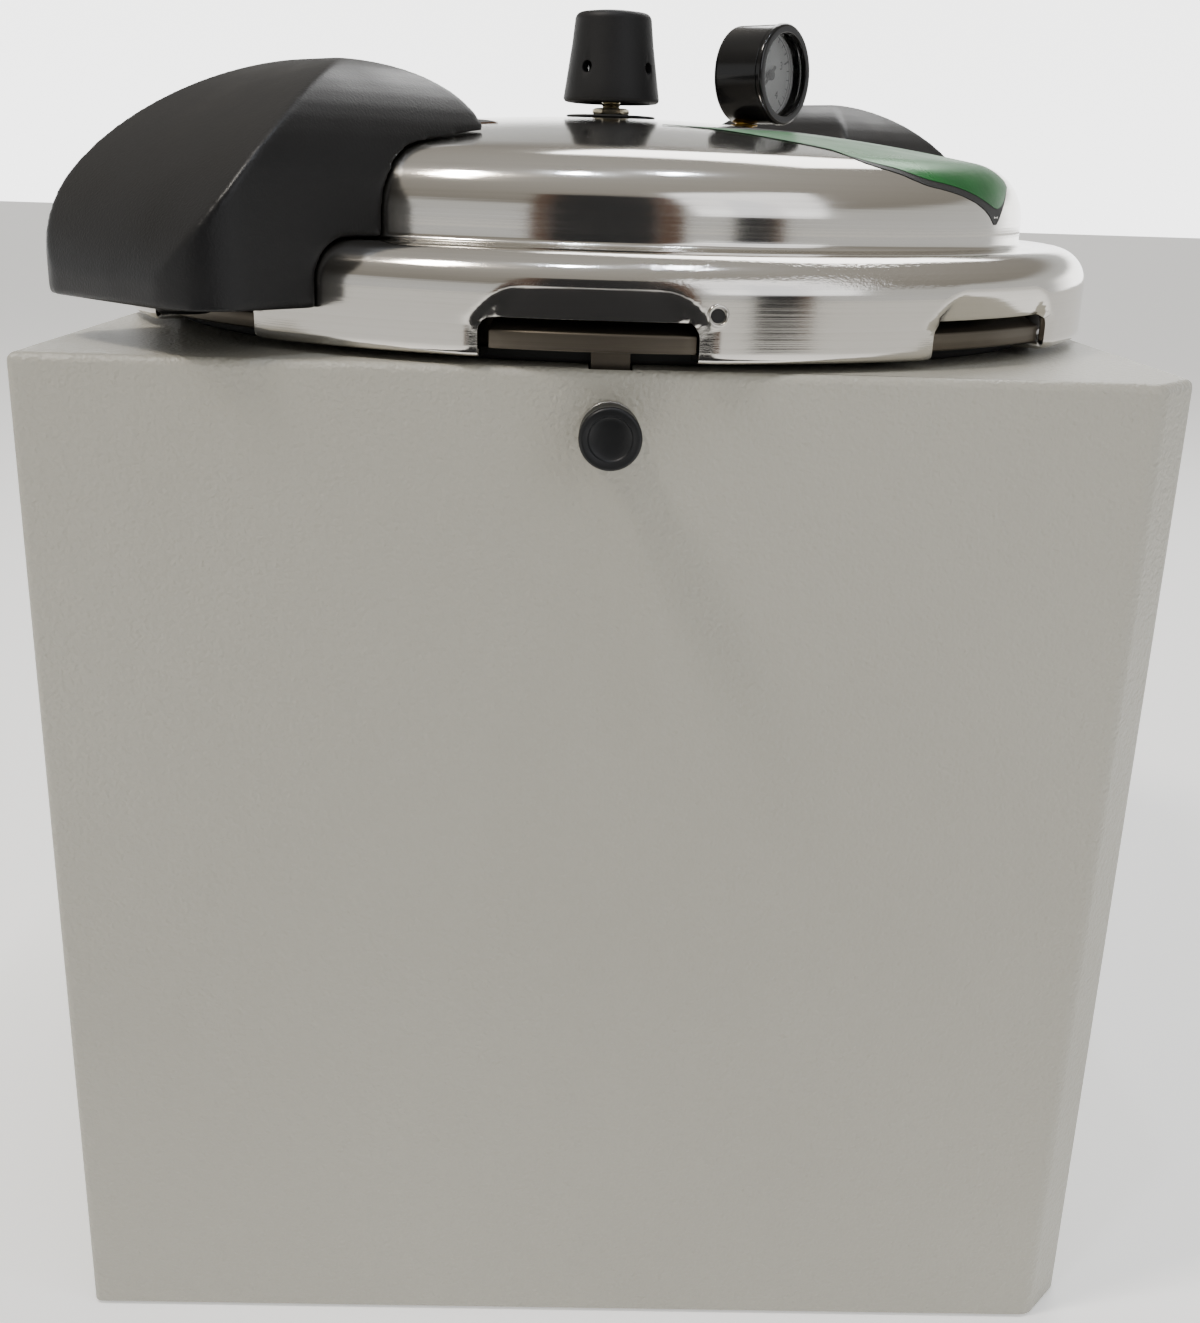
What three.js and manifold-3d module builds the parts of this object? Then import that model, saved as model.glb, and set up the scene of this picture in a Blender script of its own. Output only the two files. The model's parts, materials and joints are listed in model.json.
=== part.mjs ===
// Cabinet pressure canner: an aluminium canner pot with a twist-lock lid, set in a sheet-steel cabinet.
// Millimetres, +Z up. The origin is the centre of the base pan's underside, the front panel faces -Y
// and +X is to the right. Azimuths are in degrees from the front (-Y), positive towards +X.

import * as THREE from "three";
import { mergeVertices } from "three/addons/utils/BufferGeometryUtils.js";
import Module from "manifold-3d";

const wasm = await Module();
wasm.setup();

// ---------------------------------------------------------------- driving sizes

const touch = 0.3; // gap left between pieces that touch
const runningGap = 0.4; // gap beside pieces that slide or turn

const cabinet = {
  width: 400,
  depth: 400,
  height: 381.5,
  lift: 1.5, // the skirt of the cabinet ends this far above what it stands on
  sheet: 1.5,
  chamferAcross: 16.5, // the sloping strip down the front right corner
  chamferBack: 18,
  flange: 14, // rear flanges that hold the back cover
};
const pan = { floor: 2, wall: 1.5, height: 24, side: 0.4 };

const pot = {
  innerRadius: 165,
  wall: 3,
  floorTop: 53,
  floorThickness: 3,
  shoulder: 12, // inner radius where the wall meets the floor
  rimHeight: 22.4, // height of the thick rim ring
  rimWidth: 24.5, // its width beyond the pot wall
};
const locking = {
  lugs: 8,
  azimuth: -2.5, // middle of the front lug
  lugAngle: 19.5,
  gapAngle: 20.5, // cut-out in the lid's skirt over each lug
  lugHeight: 5.9,
  lugSlope: 5.5, // extra height of a lug at its root
  engagement: 9, // radial overlap of lug and lip
  lipThickness: 2.3,
};
const opening = { clearance: 8 }; // cabinet's round opening beyond the pot wall
const ring = { inset: 2, width: 10.5, height: 5 }; // rubber ring under the pot's rim

const lid = {
  wall: 3,
  stepRadius: 178.9, // outer radius of the upper, domed part
  wallHeight: 9.3, // straight wall above the step
  crownFillet: 22.7,
  rise: 14.4, // dome's rise above its fillet
  shoulder: 14, // outer radius of the brim's shoulder
  skirtGap: 0.6, // skirt's inside beyond the lugs
  gapAboveLug: 4, // cut-outs end this far above a lug's outer edge
  eyeletRadius: 2.6,
  eyeletAzimuth: 9,
  eyeletDrop: 19, // below the step
};
const gasket = { thickness: 6, width: 13.5 };

const handle = {
  azimuth: -43.5, // middle of the front handle; the rear one is opposite
  width: 105,
  reach: 250, // outer end, from the lid's axis
  inner: 119, // inner end
  topInner: 156.5, // where the outer curve meets the inner one
  top: 60, // above the lid's step
  bottom: 12.3, // above the bottom of the lid's skirt
  upright: 8, // straight part at the foot of the outer end
  slope: 1.5, // power of the outer curve: 1 is straight, 2 is an ellipse
  innerCurve: 24,
  round: 43, // rounding of the top's side edges
  plan: 22, // rounding of the outer end's corners in plan
  clearance: 0.5, // to the lid
  cavityFrom: 213,
  cavityTo: 240,
  cavityWidth: 70,
  cavityDrop: 2.6, // top of the hollow, below the lid's step
  screwRadius: 219,
  bossRadius: 10,
  bossDrop: 5,
};
const bracket = { width: 30, thickness: 3, legHeight: 20, reach: 232, above: 3.4, slotGap: 0.4 };
const m6 = { shank: 2.9, hole: 3.3, head: 5, headHeight: 4.2, tail: 5 };

const stem = { radius: 4.1, bore: 1.5, top: 22, below: 12, holeGap: 0.4 };
const washer = { radius: 19.5, thickness: 0.8 };
const stemNut = { acrossFlats: 14, height: 2.8 };
const innerNut = { acrossFlats: 15, height: 5 };
const weight = {
  bottomRadius: 21.2,
  topRadius: 15.6,
  height: 37.5,
  crown: 3,
  edge: 2.5,
  wall: 3,
  standoff: 2, // above the outer nut
  ventRadius: 2.5,
  ventHeight: 14,
  vents: 4,
  ventAzimuth: 54,
  insertRadius: 10.5,
  insertLift: 6,
};
const plug = { back: 90, holeRadius: 5, headRadius: 8, headHeight: 3.5, tailHeight: 4 };

const gauge = {
  stemX: 59,
  faceAzimuth: 51,
  caseRadius: 20,
  caseWall: 1.5,
  caseDepth: 22,
  bezelDepth: 3,
  bezelWidth: 3.5,
  stemSetback: 5, // stem axis in front of the case's back
  standoff: 1.6, // case above the dome
  stemRadius: 4,
  collarRadius: 5.8,
  dialThickness: 0.8,
  dialDepth: 7, // dial's face below the case's front edge
  lensThickness: 1.5,
  pointerLength: 14,
  pointerWidth: 1.2,
  pointerZero: 225, // degrees anticlockwise from the dial's right
  tubeRadius: 13.6,
  nutHeight: 4,
  nutAcrossFlats: 12,
};

const plunger = {
  x: -1.5,
  below: 19.5, // axis below the cabinet's top
  knobRadius: 10.3,
  knobLength: 12,
  knobFace: 22, // knob's face in front of the panel
  knobDish: 2.2,
  barrelRadius: 7,
  barrelLength: 14,
  barrelWall: 1.5,
  flangeRadius: 9.5,
  flangeThickness: 3,
  spigotRadius: 6,
  bore: 4.7,
  noseRadius: 3,
  shankRadius: 2.4,
  collarRadius: 4.2,
  collarLength: 1.6,
  springRadius: 3.5,
  springWire: 0.35,
  springTurns: 5,
};
const key = { width: 13.2, thickness: 4, length: 50, gapToLip: 1, holeRadius: 3.3, sideGap: 0.8 };

const rack = { gap: 13, plate: 2, height: 20, wall: 2, holeRadius: 7, rows: [[55, 6], [110, 10]] };
const tray = { radius: 150, top: 40, sheet: 1.5 };
const element = { radius: 105, tube: 4, gapAngle: 24, tail: 30, entry: 10, entryShift: 3 };
const thermostat = { radius: 12, height: 7 };

const screw = { shank: 1.7, head: 3.6, headHeight: 2, length: 8 };
const backScrewInset = 7; // from the cabinet's inner side walls
const vents = { rows: 2, perRow: 6, length: 40, height: 5, pitchX: 52, pitchZ: 14, z: 300 };

const inlet = {
  x: -120, z: 60, width: 30, height: 24, depth: 22, flange: 4, flangeThickness: 2.5,
  pocketWidth: 24, pocketHeight: 17, pocketDepth: 16, pinWidth: 2, pinHeight: 4, pinPitch: 7,
};
const rocker = {
  x: -70, z: 60, width: 14, height: 20, frame: 3, frameThickness: 2.5, depth: 12, wall: 1.5,
  side: 0.5, endGap: 1.4, tilt: 9, proud: 3,
};

// ---------------------------------------------------------------- derived places

const rad = THREE.MathUtils.degToRad;
const front = -cabinet.depth / 2;
const back = cabinet.depth / 2;
const innerFront = front + cabinet.sheet;
const rackRadius = pot.innerRadius - rack.gap;
const cabinetTop = cabinet.lift + cabinet.height;

const potOuter = pot.innerRadius + pot.wall;
const openingRadius = potOuter + opening.clearance;
const ringInner = openingRadius + ring.inset;
const rimOuter = potOuter + pot.rimWidth;
const lipInner = rimOuter + 2;
const lugOuter = lipInner + locking.engagement;
const skirtInner = lugOuter + lid.skirtGap;
const skirtOuter = skirtInner + lid.wall;

const ringTop = cabinetTop + touch + ring.height;
const rimBottom = ringTop + touch;
const lipTop = rimBottom - runningGap;
const skirtBottom = lipTop - locking.lipThickness;
const rimTop = rimBottom + pot.rimHeight;
const lugRootTop = rimBottom + locking.lugHeight + locking.lugSlope;
const gapTop = rimBottom + locking.lugHeight + lid.gapAboveLug;
const gasketBottom = rimTop + touch;
const gasketTop = gasketBottom + gasket.thickness;
const stepInside = gasketTop + touch;
const stepTop = stepInside + lid.wall;
const wallTop = stepTop + lid.wallHeight;
const filletTop = wallTop + lid.crownFillet;
const domeTop = filletTop + lid.rise;
const domeEdge = lid.stepRadius - lid.crownFillet;

// Height of the dome's outside at a distance from the axis.
const domeHeight = (r) => domeTop - lid.rise * (r / domeEdge) ** 2;

const handleBottom = skirtBottom + handle.bottom;
const handleTop = stepTop + handle.top;
const handleCavityTop = stepTop - handle.cavityDrop;
const plungerZ = cabinetTop - plunger.below;
const keyFront = -(lipInner - key.gapToLip);
const washerTop = domeTop + touch + washer.thickness;
const stemNutTop = washerTop + touch + stemNut.height;
const weightBottom = stemNutTop + weight.standoff;
const stemTop = domeTop + stem.top;

// ---------------------------------------------------------------- making solids

// A closed geometry as a solid, whichever way its faces were wound.
function solid(geometry) {
  const bare = geometry.clone();
  bare.deleteAttribute("normal");
  bare.deleteAttribute("uv");
  const merged = mergeVertices(bare, 1e-4);
  const place = merged.attributes.position;
  const kept = [];
  const [a, b, c] = [new THREE.Vector3(), new THREE.Vector3(), new THREE.Vector3()];
  let volume = 0;
  for (let i = 0; i < merged.index.count; i += 3) {
    const [p, q, r] = [0, 1, 2].map((k) => merged.index.getX(i + k));
    if (p === q || q === r || r === p) continue;
    kept.push(p, q, r);
    a.fromBufferAttribute(place, p);
    b.fromBufferAttribute(place, q);
    c.fromBufferAttribute(place, r);
    volume += a.dot(b.cross(c));
  }
  if (volume < 0) kept.reverse();
  const mesh = new wasm.Mesh({
    numProp: 3,
    vertProperties: new Float32Array(place.array),
    triVerts: new Uint32Array(kept),
  });
  return new wasm.Manifold(mesh);
}

// A solid as three.js geometry.
function geometryOf(body) {
  const mesh = body.getMesh();
  const geometry = new THREE.BufferGeometry();
  geometry.setAttribute("position", new THREE.BufferAttribute(mesh.vertProperties, 3));
  geometry.setIndex(new THREE.BufferAttribute(mesh.triVerts, 1));
  const flat = geometry.toNonIndexed();
  flat.computeVertexNormals();
  return flat;
}

const join = (first, ...rest) => rest.reduce((made, next) => made.add(next), first);
const cut = (first, ...rest) => rest.reduce((made, next) => made.subtract(next), first);

// A box between two corners.
function box(x0, y0, z0, x1, y1, z1) {
  const shape = new THREE.BoxGeometry(x1 - x0, y1 - y0, z1 - z0);
  return solid(shape.translate((x0 + x1) / 2, (y0 + y1) / 2, (z0 + z1) / 2));
}

// A profile of [radius, height] points turned round the Z axis; the profile closes on itself.
function turned(points, segments = 32) {
  const closed = [...points, points[0]].map(([r, z]) => new THREE.Vector2(r, z));
  return solid(new THREE.LatheGeometry(closed, segments).rotateX(Math.PI / 2));
}

// A cylinder, or a prism with few sides, standing on z0.
function round(radius, z0, z1, segments = 20) {
  const points = [[0, z0], [radius, z0], [radius, z1], [0, z1]];
  return turned(points, segments);
}

// A ring between two radii.
function tube(inner, outer, z0, z1, segments = 32) {
  return turned([[inner, z0], [outer, z0], [outer, z1], [inner, z1]], segments);
}

const hexagon = (acrossFlats, z0, z1) => round(acrossFlats / Math.sqrt(3), z0, z1, 6);

// Points of an arc, ends included, angles in degrees.
function arc(cx, cy, rx, ry, from, to, steps) {
  return Array.from({ length: steps + 1 }, (_, i) => {
    const t = rad(from + ((to - from) * i) / steps);
    return [cx + rx * Math.cos(t), cy + ry * Math.sin(t)];
  });
}

// Points of a quarter of a rounded outline between a straight line and an ellipse, ends included.
function swell(cx, cy, rx, ry, power, steps) {
  return arc(0, 0, 1, 1, 0, 90, steps).map(([x, y]) => [
    cx + rx * Math.abs(x) ** (2 / power),
    cy + ry * Math.abs(y) ** (2 / power),
  ]);
}

// A flat outline pushed from z0 to z1.
function pushed(outline, z0, z1) {
  const shape = new THREE.Shape(outline.map(([x, y]) => new THREE.Vector2(x, y)));
  const geometry = new THREE.ExtrudeGeometry(shape, { depth: z1 - z0, bevelEnabled: false });
  return solid(geometry.translate(0, 0, z0));
}

// A sector of a ring, centred on an azimuth.
function sector(inner, outer, azimuth, angle, z0, z1) {
  const middle = azimuth - 90;
  const outline = [
    ...arc(0, 0, outer, outer, middle - angle / 2, middle + angle / 2, 3),
    ...arc(0, 0, inner, inner, middle + angle / 2, middle - angle / 2, 2),
  ];
  return pushed(outline, z0, z1);
}

const lugAzimuths = Array.from(
  { length: locking.lugs },
  (_, i) => locking.azimuth + (360 / locking.lugs) * i,
);

// Moves a solid that stands on the Z axis so that it points towards -Y at a place on the front.
const facingFront = (body, x, y, z) => body.rotate([90, 0, 0]).translate([x, y, z]);
// The same, pointing towards +Y at the back.
const facingBack = (body, x, y, z) => body.rotate([-90, 0, 0]).translate([x, y, z]);

// ---------------------------------------------------------------- materials and the scene graph

const paint = (color, roughness, metalness) =>
  new THREE.MeshStandardMaterial({ color, roughness, metalness });
const finish = {
  paintedSteel: paint(0xb4afa6, 0.45, 0),
  bareSteel: paint(0x9a9a98, 0.4, 1),
  aluminium: paint(0xc9c7c2, 0.22, 1),
  dullAluminium: paint(0x8d8983, 0.45, 1),
  phenolic: paint(0x1b1c1e, 0.5, 0),
  blackPlastic: paint(0x202122, 0.42, 0),
  glossBlack: paint(0x0c0c0d, 0.15, 0),
  rubber: paint(0x121212, 0.8, 0),
  brass: paint(0xb58a3a, 0.3, 1),
  glass: paint(0xdfe6e8, 0.05, 0),
  dialPaper: paint(0xb9babb, 0.6, 0),
};

const canner = new THREE.Group();

// Adds a solid as a named piece.
function piece(name, body, material, parent = canner) {
  const mesh = new THREE.Mesh(geometryOf(body), material);
  mesh.name = name;
  parent.add(mesh);
}

// ---------------------------------------------------------------- cabinet

// The cabinet's outline in plan, moved in by an inset, with the sloping front right corner.
function plan(inset) {
  const { width, chamferAcross: across, chamferBack: deep } = cabinet;
  const slope = Math.hypot(across, deep);
  const face = (deep * (width / 2 - across) - across * front) / slope - inset;
  const x = width / 2 - inset;
  const y = front + inset;
  return [
    [-x, y],
    [(slope * face + across * y) / deep, y],
    [x, (deep * x - slope * face) / across],
    [x, back - inset],
    [-x, back - inset],
  ];
}

// Places of the back cover's screws.
function backScrewPlaces() {
  const x = cabinet.width / 2 - cabinet.sheet - backScrewInset;
  const low = cabinet.lift + pan.height + backScrewInset;
  const high = cabinetTop - cabinet.sheet - backScrewInset;
  return [-x, x].flatMap((side) => [low, (low + high) / 2, high].map((z) => [side, z]));
}

const coverGap = 0.4;
const coverBack = back - cabinet.sheet;
const coverFront = coverBack - cabinet.sheet;
const flangeBack = coverFront - touch;
const flangeFront = flangeBack - cabinet.sheet;

function buildCabinet() {
  const { sheet, flange, lift, width } = cabinet;
  const inside = width / 2 - sheet;
  const under = cabinetTop - sheet;
  const window = inside - flange;
  let shell = cut(
    pushed(plan(0), lift, cabinetTop),
    pushed(plan(sheet), lift - 1, under).intersect(
      box(-width, front - 1, lift - 1, width, flangeFront, under),
    ),
    box(-window, flangeFront - 1, lift - 1, window, back + 1, under - flange),
    box(-inside, flangeBack, lift - 1, inside, back + 1, under),
    round(openingRadius, under - 1, cabinetTop + 1, 48),
  );
  const notch = key.width / 2 + key.sideGap;
  shell = cut(
    shell,
    box(
      plunger.x - notch, innerFront + touch, under - 1,
      plunger.x + notch, -openingRadius + pot.wall, cabinetTop + 1,
    ),
    facingFront(round(plunger.spigotRadius + touch, -2, 2 * sheet), plunger.x, innerFront, plungerZ),
  );
  for (const [x, z] of backScrewPlaces())
    shell = cut(shell, facingBack(round(screw.shank + touch, -8, 4, 8), x, flangeBack, z));
  for (const [x, y, side] of panScrewPlaces())
    shell = cut(shell, panScrewShape(screw.shank + touch, side).translate([x, y, panScrewZ]));
  piece("cabinet_shell", shell, finish.paintedSteel);

  let cover = box(
    -inside + coverGap, coverFront, lift + pan.height + 1,
    inside - coverGap, coverBack, under - coverGap,
  );
  for (const [x, z] of backScrewPlaces())
    cover = cut(cover, facingBack(round(screw.shank + touch, -4, 4, 8), x, coverFront, z));
  for (let row = 0; row < vents.rows; row++)
    for (let i = 0; i < vents.perRow; i++) {
      const x = (i - (vents.perRow - 1) / 2) * vents.pitchX;
      const z = vents.z + row * vents.pitchZ;
      cover = cut(
        cover,
        box(x - vents.length / 2, coverFront - 1, z, x + vents.length / 2, coverBack + 1, z + vents.height),
      );
    }
  const around = (part) =>
    box(
      part.x - part.width / 2 - touch, coverFront - 1, part.z - part.height / 2 - touch,
      part.x + part.width / 2 + touch, coverBack + 1, part.z + part.height / 2 + touch,
    );
  piece("back_cover", cut(cover, around(inlet), around(rocker)), finish.paintedSteel);

  const shaft = join(
    round(screw.shank, touch - screw.length, screw.headHeight, 8),
    round(screw.head, touch, touch + screw.headHeight, 12),
  );
  backScrewPlaces().forEach(([x, z], i) =>
    piece(`back_screw_${i + 1}`, facingBack(shaft, x, coverBack, z), finish.bareSteel),
  );
}

// ---------------------------------------------------------------- base pan

const panScrewZ = cabinet.lift + 12;

// Places of the screws that hold the pan, and the side they point to.
function panScrewPlaces() {
  const y = cabinet.depth / 3;
  return [-1, 1].flatMap((side) => [-y, y].map((at) => [(side * cabinet.width) / 2, at, side]));
}

// A shaft along X, its outer end at the origin.
function panScrewShape(radius, side) {
  return round(radius, -screw.length, 1, 8).rotate([0, side * 90, 0]);
}

function buildPan() {
  const outer = cabinet.sheet + pan.side;
  const depth = [back - flangeFront + touch, back];
  const trim = box(-cabinet.width, front, -1, cabinet.width, back - depth[0], pan.height + 1);
  let body = pushed(plan(outer), 0, pan.height).intersect(trim);
  const inner = trim.translate([0, -pan.wall, 0]);
  body = cut(body, pushed(plan(outer + pan.wall), pan.floor, pan.height + 1).intersect(inner));
  for (const [x, y, side] of panScrewPlaces())
    body = cut(body, panScrewShape(screw.shank + touch, side).translate([x, y, panScrewZ]));
  piece("base_pan", body, finish.bareSteel);

  panScrewPlaces().forEach(([x, y, side], i) => {
    const head = round(screw.head, touch, touch + screw.headHeight, 12).rotate([0, side * 90, 0]);
    const body = join(panScrewShape(screw.shank, side), head).translate([x, y, panScrewZ]);
    piece(`pan_screw_${i + 1}`, body, finish.bareSteel);
  });
}

// ---------------------------------------------------------------- heater

const trayTop = tray.top;
const elementZ = trayTop + touch + element.tube;
const heaterGap = pot.floorTop - pot.floorThickness - trayTop;

// The heating tube: a nearly closed ring whose two ends turn down through the tray.
function elementPath() {
  const path = new THREE.CurvePath();
  const half = element.gapAngle / 2;
  const at = (angle, z) =>
    new THREE.Vector3(
      element.radius * Math.cos(rad(angle)), element.radius * Math.sin(rad(angle)), z,
    );
  const bend = 2 * element.tube;
  const first = 90 + half;
  const last = 90 + 360 - half;
  const turn = (bend / element.radius) * (180 / Math.PI);
  const ringPoints = Array.from({ length: 25 }, (_, i) =>
    at(first + turn + ((last - first - 2 * turn) * i) / 24, elementZ),
  );
  path.add(new THREE.LineCurve3(at(first, elementZ - element.tail), at(first, elementZ - bend)));
  path.add(
    new THREE.QuadraticBezierCurve3(at(first, elementZ - bend), at(first, elementZ), ringPoints[0]),
  );
  path.add(new THREE.CatmullRomCurve3(ringPoints));
  path.add(
    new THREE.QuadraticBezierCurve3(ringPoints.at(-1), at(last, elementZ), at(last, elementZ - bend)),
  );
  path.add(new THREE.LineCurve3(at(last, elementZ - bend), at(last, elementZ - element.tail)));
  return path;
}

function buildHeater() {
  const { radius, sheet } = tray;
  let dish = turned(
    [
      [0, trayTop - sheet], [radius - sheet, trayTop - sheet], [radius - sheet, pan.floor + touch],
      [radius, pan.floor + touch], [radius, trayTop], [0, trayTop],
    ],
    32,
  );
  const half = element.gapAngle / 2;
  for (const angle of [90 + half, 90 - half]) {
    const x = element.radius * Math.cos(rad(angle)) + Math.sign(90 - angle) * element.entryShift;
    const y = element.radius * Math.sin(rad(angle));
    dish = cut(dish, round(element.entry, trayTop - 5, trayTop + 5, 16).translate([x, y, 0]));
  }
  piece("heater_tray", dish, finish.bareSteel);

  const section = new THREE.Shape();
  section.absarc(0, 0, element.tube, 0, 2 * Math.PI);
  const steps = { steps: 48, curveSegments: 4, bevelEnabled: false, extrudePath: elementPath() };
  piece("heating_element", solid(new THREE.ExtrudeGeometry(section, steps)), finish.bareSteel);

  const height = Math.min(thermostat.height, heaterGap - 2 * touch);
  piece(
    "overheat_thermostat",
    round(thermostat.radius, trayTop + touch, trayTop + touch + height, 24),
    finish.blackPlastic,
  );
}

// ---------------------------------------------------------------- pot

function buildPot() {
  const { innerRadius, shoulder, floorTop, floorThickness, rimHeight } = pot;
  const floor = floorTop - floorThickness;
  const profile = [
    [0, floor],
    ...arc(potOuter - shoulder, floor + shoulder, shoulder, shoulder, -90, 0, 4),
    [potOuter, rimBottom],
    [rimOuter, rimBottom],
    [rimOuter, rimTop],
    [innerRadius + rimHeight / 2, rimTop],
    [innerRadius, rimTop - rimHeight / 2],
    ...arc(innerRadius - shoulder, floorTop + shoulder, shoulder, shoulder, 0, -90, 4),
    [0, floorTop],
  ];
  const lugRing = turned(
    [
      [rimOuter - 2, rimBottom], [lugOuter, rimBottom], [lugOuter, rimBottom + locking.lugHeight],
      [rimOuter + 3, lugRootTop], [rimOuter - 2, lugRootTop],
    ],
    48,
  );
  const places = lugAzimuths.map((azimuth) =>
    sector(rimOuter - 4, lugOuter + 4, azimuth, locking.lugAngle, rimBottom - 1, lugRootTop + 1),
  );
  const lugs = lugRing.intersect(join(...places));
  piece("pot", join(turned(profile, 48), lugs), finish.dullAluminium);

  piece(
    "support_ring",
    tube(ringInner, ringInner + ring.width, cabinetTop + touch, ringTop, 48),
    finish.rubber,
  );

  const half = key.width / 2;
  const bar = box(
    plunger.x - half, keyFront, rimBottom - touch - key.length,
    plunger.x + half, keyFront + key.thickness, rimBottom - touch,
  );
  const hole = facingFront(round(key.holeRadius, -8, 8, 24), plunger.x, keyFront, plungerZ);
  piece("locating_key", cut(bar, hole), finish.dullAluminium);

  const seat = floorTop + touch;
  const plateTop = seat + rack.height;
  let plate = turned(
    [
      [0, plateTop - rack.plate], [rackRadius - rack.wall, plateTop - rack.plate],
      [rackRadius - rack.wall, seat], [rackRadius, seat], [rackRadius, plateTop], [0, plateTop],
    ],
    32,
  );
  const bore = round(rack.holeRadius, plateTop - 2 * rack.plate, plateTop + 1, 8);
  const bores = rack.rows.flatMap(([radius, count]) =>
    Array.from({ length: count }, (_, i) => {
      const t = (2 * Math.PI * i) / count;
      return bore.translate([radius * Math.cos(t), radius * Math.sin(t), 0]);
    }),
  );
  piece("jar_rack", cut(plate, bore, ...bores), finish.aluminium);
}

// ---------------------------------------------------------------- spring plunger that pins the pot

function buildPlunger() {
  const p = plunger;
  const y = front;
  const noseEnd = -keyFront - cabinet.depth / 2 - key.thickness - 1; // below 0: behind the panel's face
  const spigotEnd = -cabinet.sheet - touch / 3;
  const bush = turned(
    [
      [p.bore, spigotEnd], [p.spigotRadius, spigotEnd], [p.spigotRadius, touch],
      [p.flangeRadius, touch], [p.flangeRadius, touch + p.flangeThickness],
      [p.barrelRadius, touch + p.flangeThickness], [p.barrelRadius, p.barrelLength],
      [p.shankRadius + runningGap, p.barrelLength],
      [p.shankRadius + runningGap, p.barrelLength - p.barrelWall],
      [p.bore, p.barrelLength - p.barrelWall],
    ],
    20,
  );
  piece("plunger_bush", facingFront(bush, p.x, y, plungerZ), finish.bareSteel);

  const knobBack = p.knobFace - p.knobLength;
  const pin = turned(
    [
      [0, noseEnd], [p.noseRadius - 1, noseEnd], [p.noseRadius, noseEnd + 1], [p.noseRadius, 0],
      [p.collarRadius, 0], [p.collarRadius, p.collarLength], [p.shankRadius, p.collarLength],
      [p.shankRadius, p.knobFace - 4], [0, p.knobFace - 4],
    ],
    16,
  );
  piece("plunger_pin", facingFront(pin, p.x, y, plungerZ), finish.bareSteel);

  const skirtGap = p.barrelRadius + 0.6;
  const knob = turned(
    [
      [p.shankRadius + touch / 3, p.barrelLength + 1.5], [skirtGap, p.barrelLength + 1.5],
      [skirtGap, knobBack], [p.knobRadius - 1, knobBack], [p.knobRadius, knobBack + 1.5],
      [p.knobRadius, p.knobFace - 1.2], [p.knobRadius - 1.2, p.knobFace],
      [p.knobRadius * 0.72, p.knobFace - 0.6], [p.knobRadius * 0.5, p.knobFace - p.knobDish],
      [0, p.knobFace - p.knobDish], [0, p.knobFace - 4 + touch / 3],
      [p.shankRadius + touch / 3, p.knobFace - 4 + touch / 3],
    ],
    24,
  );
  piece("plunger_knob", facingFront(knob, p.x, y, plungerZ), finish.blackPlastic);

  const from = p.collarLength + touch + p.springWire;
  const to = p.barrelLength - p.barrelWall - touch - p.springWire;
  const points = Array.from({ length: 8 * p.springTurns + 1 }, (_, i) => {
    const t = (2 * Math.PI * i) / 8;
    const z = from + ((to - from) * i) / (8 * p.springTurns);
    return new THREE.Vector3(p.springRadius * Math.cos(t), p.springRadius * Math.sin(t), z);
  });
  const wire = new THREE.Shape();
  wire.absarc(0, 0, p.springWire, 0, 2 * Math.PI);
  const coil = new THREE.ExtrudeGeometry(wire, {
    steps: 8 * p.springTurns, curveSegments: 2, bevelEnabled: false,
    extrudePath: new THREE.CatmullRomCurve3(points),
  });
  piece("plunger_spring", facingFront(solid(coil), p.x, y, plungerZ), finish.bareSteel);
}

// ---------------------------------------------------------------- lid

// The lid's outside, from its centre down to the bottom of the skirt, moved out by an offset.
function lidOutside(offset = 0) {
  const dome = Array.from({ length: 4 }, (_, i) => {
    const r = (domeEdge * i) / 4;
    return [r, domeHeight(r) + offset];
  });
  const { crownFillet, shoulder, stepRadius } = lid;
  return [
    ...dome,
    ...arc(domeEdge, wallTop, crownFillet + offset, crownFillet + offset, 90, 0, 4),
    [stepRadius + offset, stepTop + offset],
    ...arc(
      skirtOuter - shoulder, stepTop - shoulder, shoulder + offset, shoulder + offset, 90, 0, 3,
    ),
    [skirtOuter + offset, skirtBottom],
  ];
}

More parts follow.
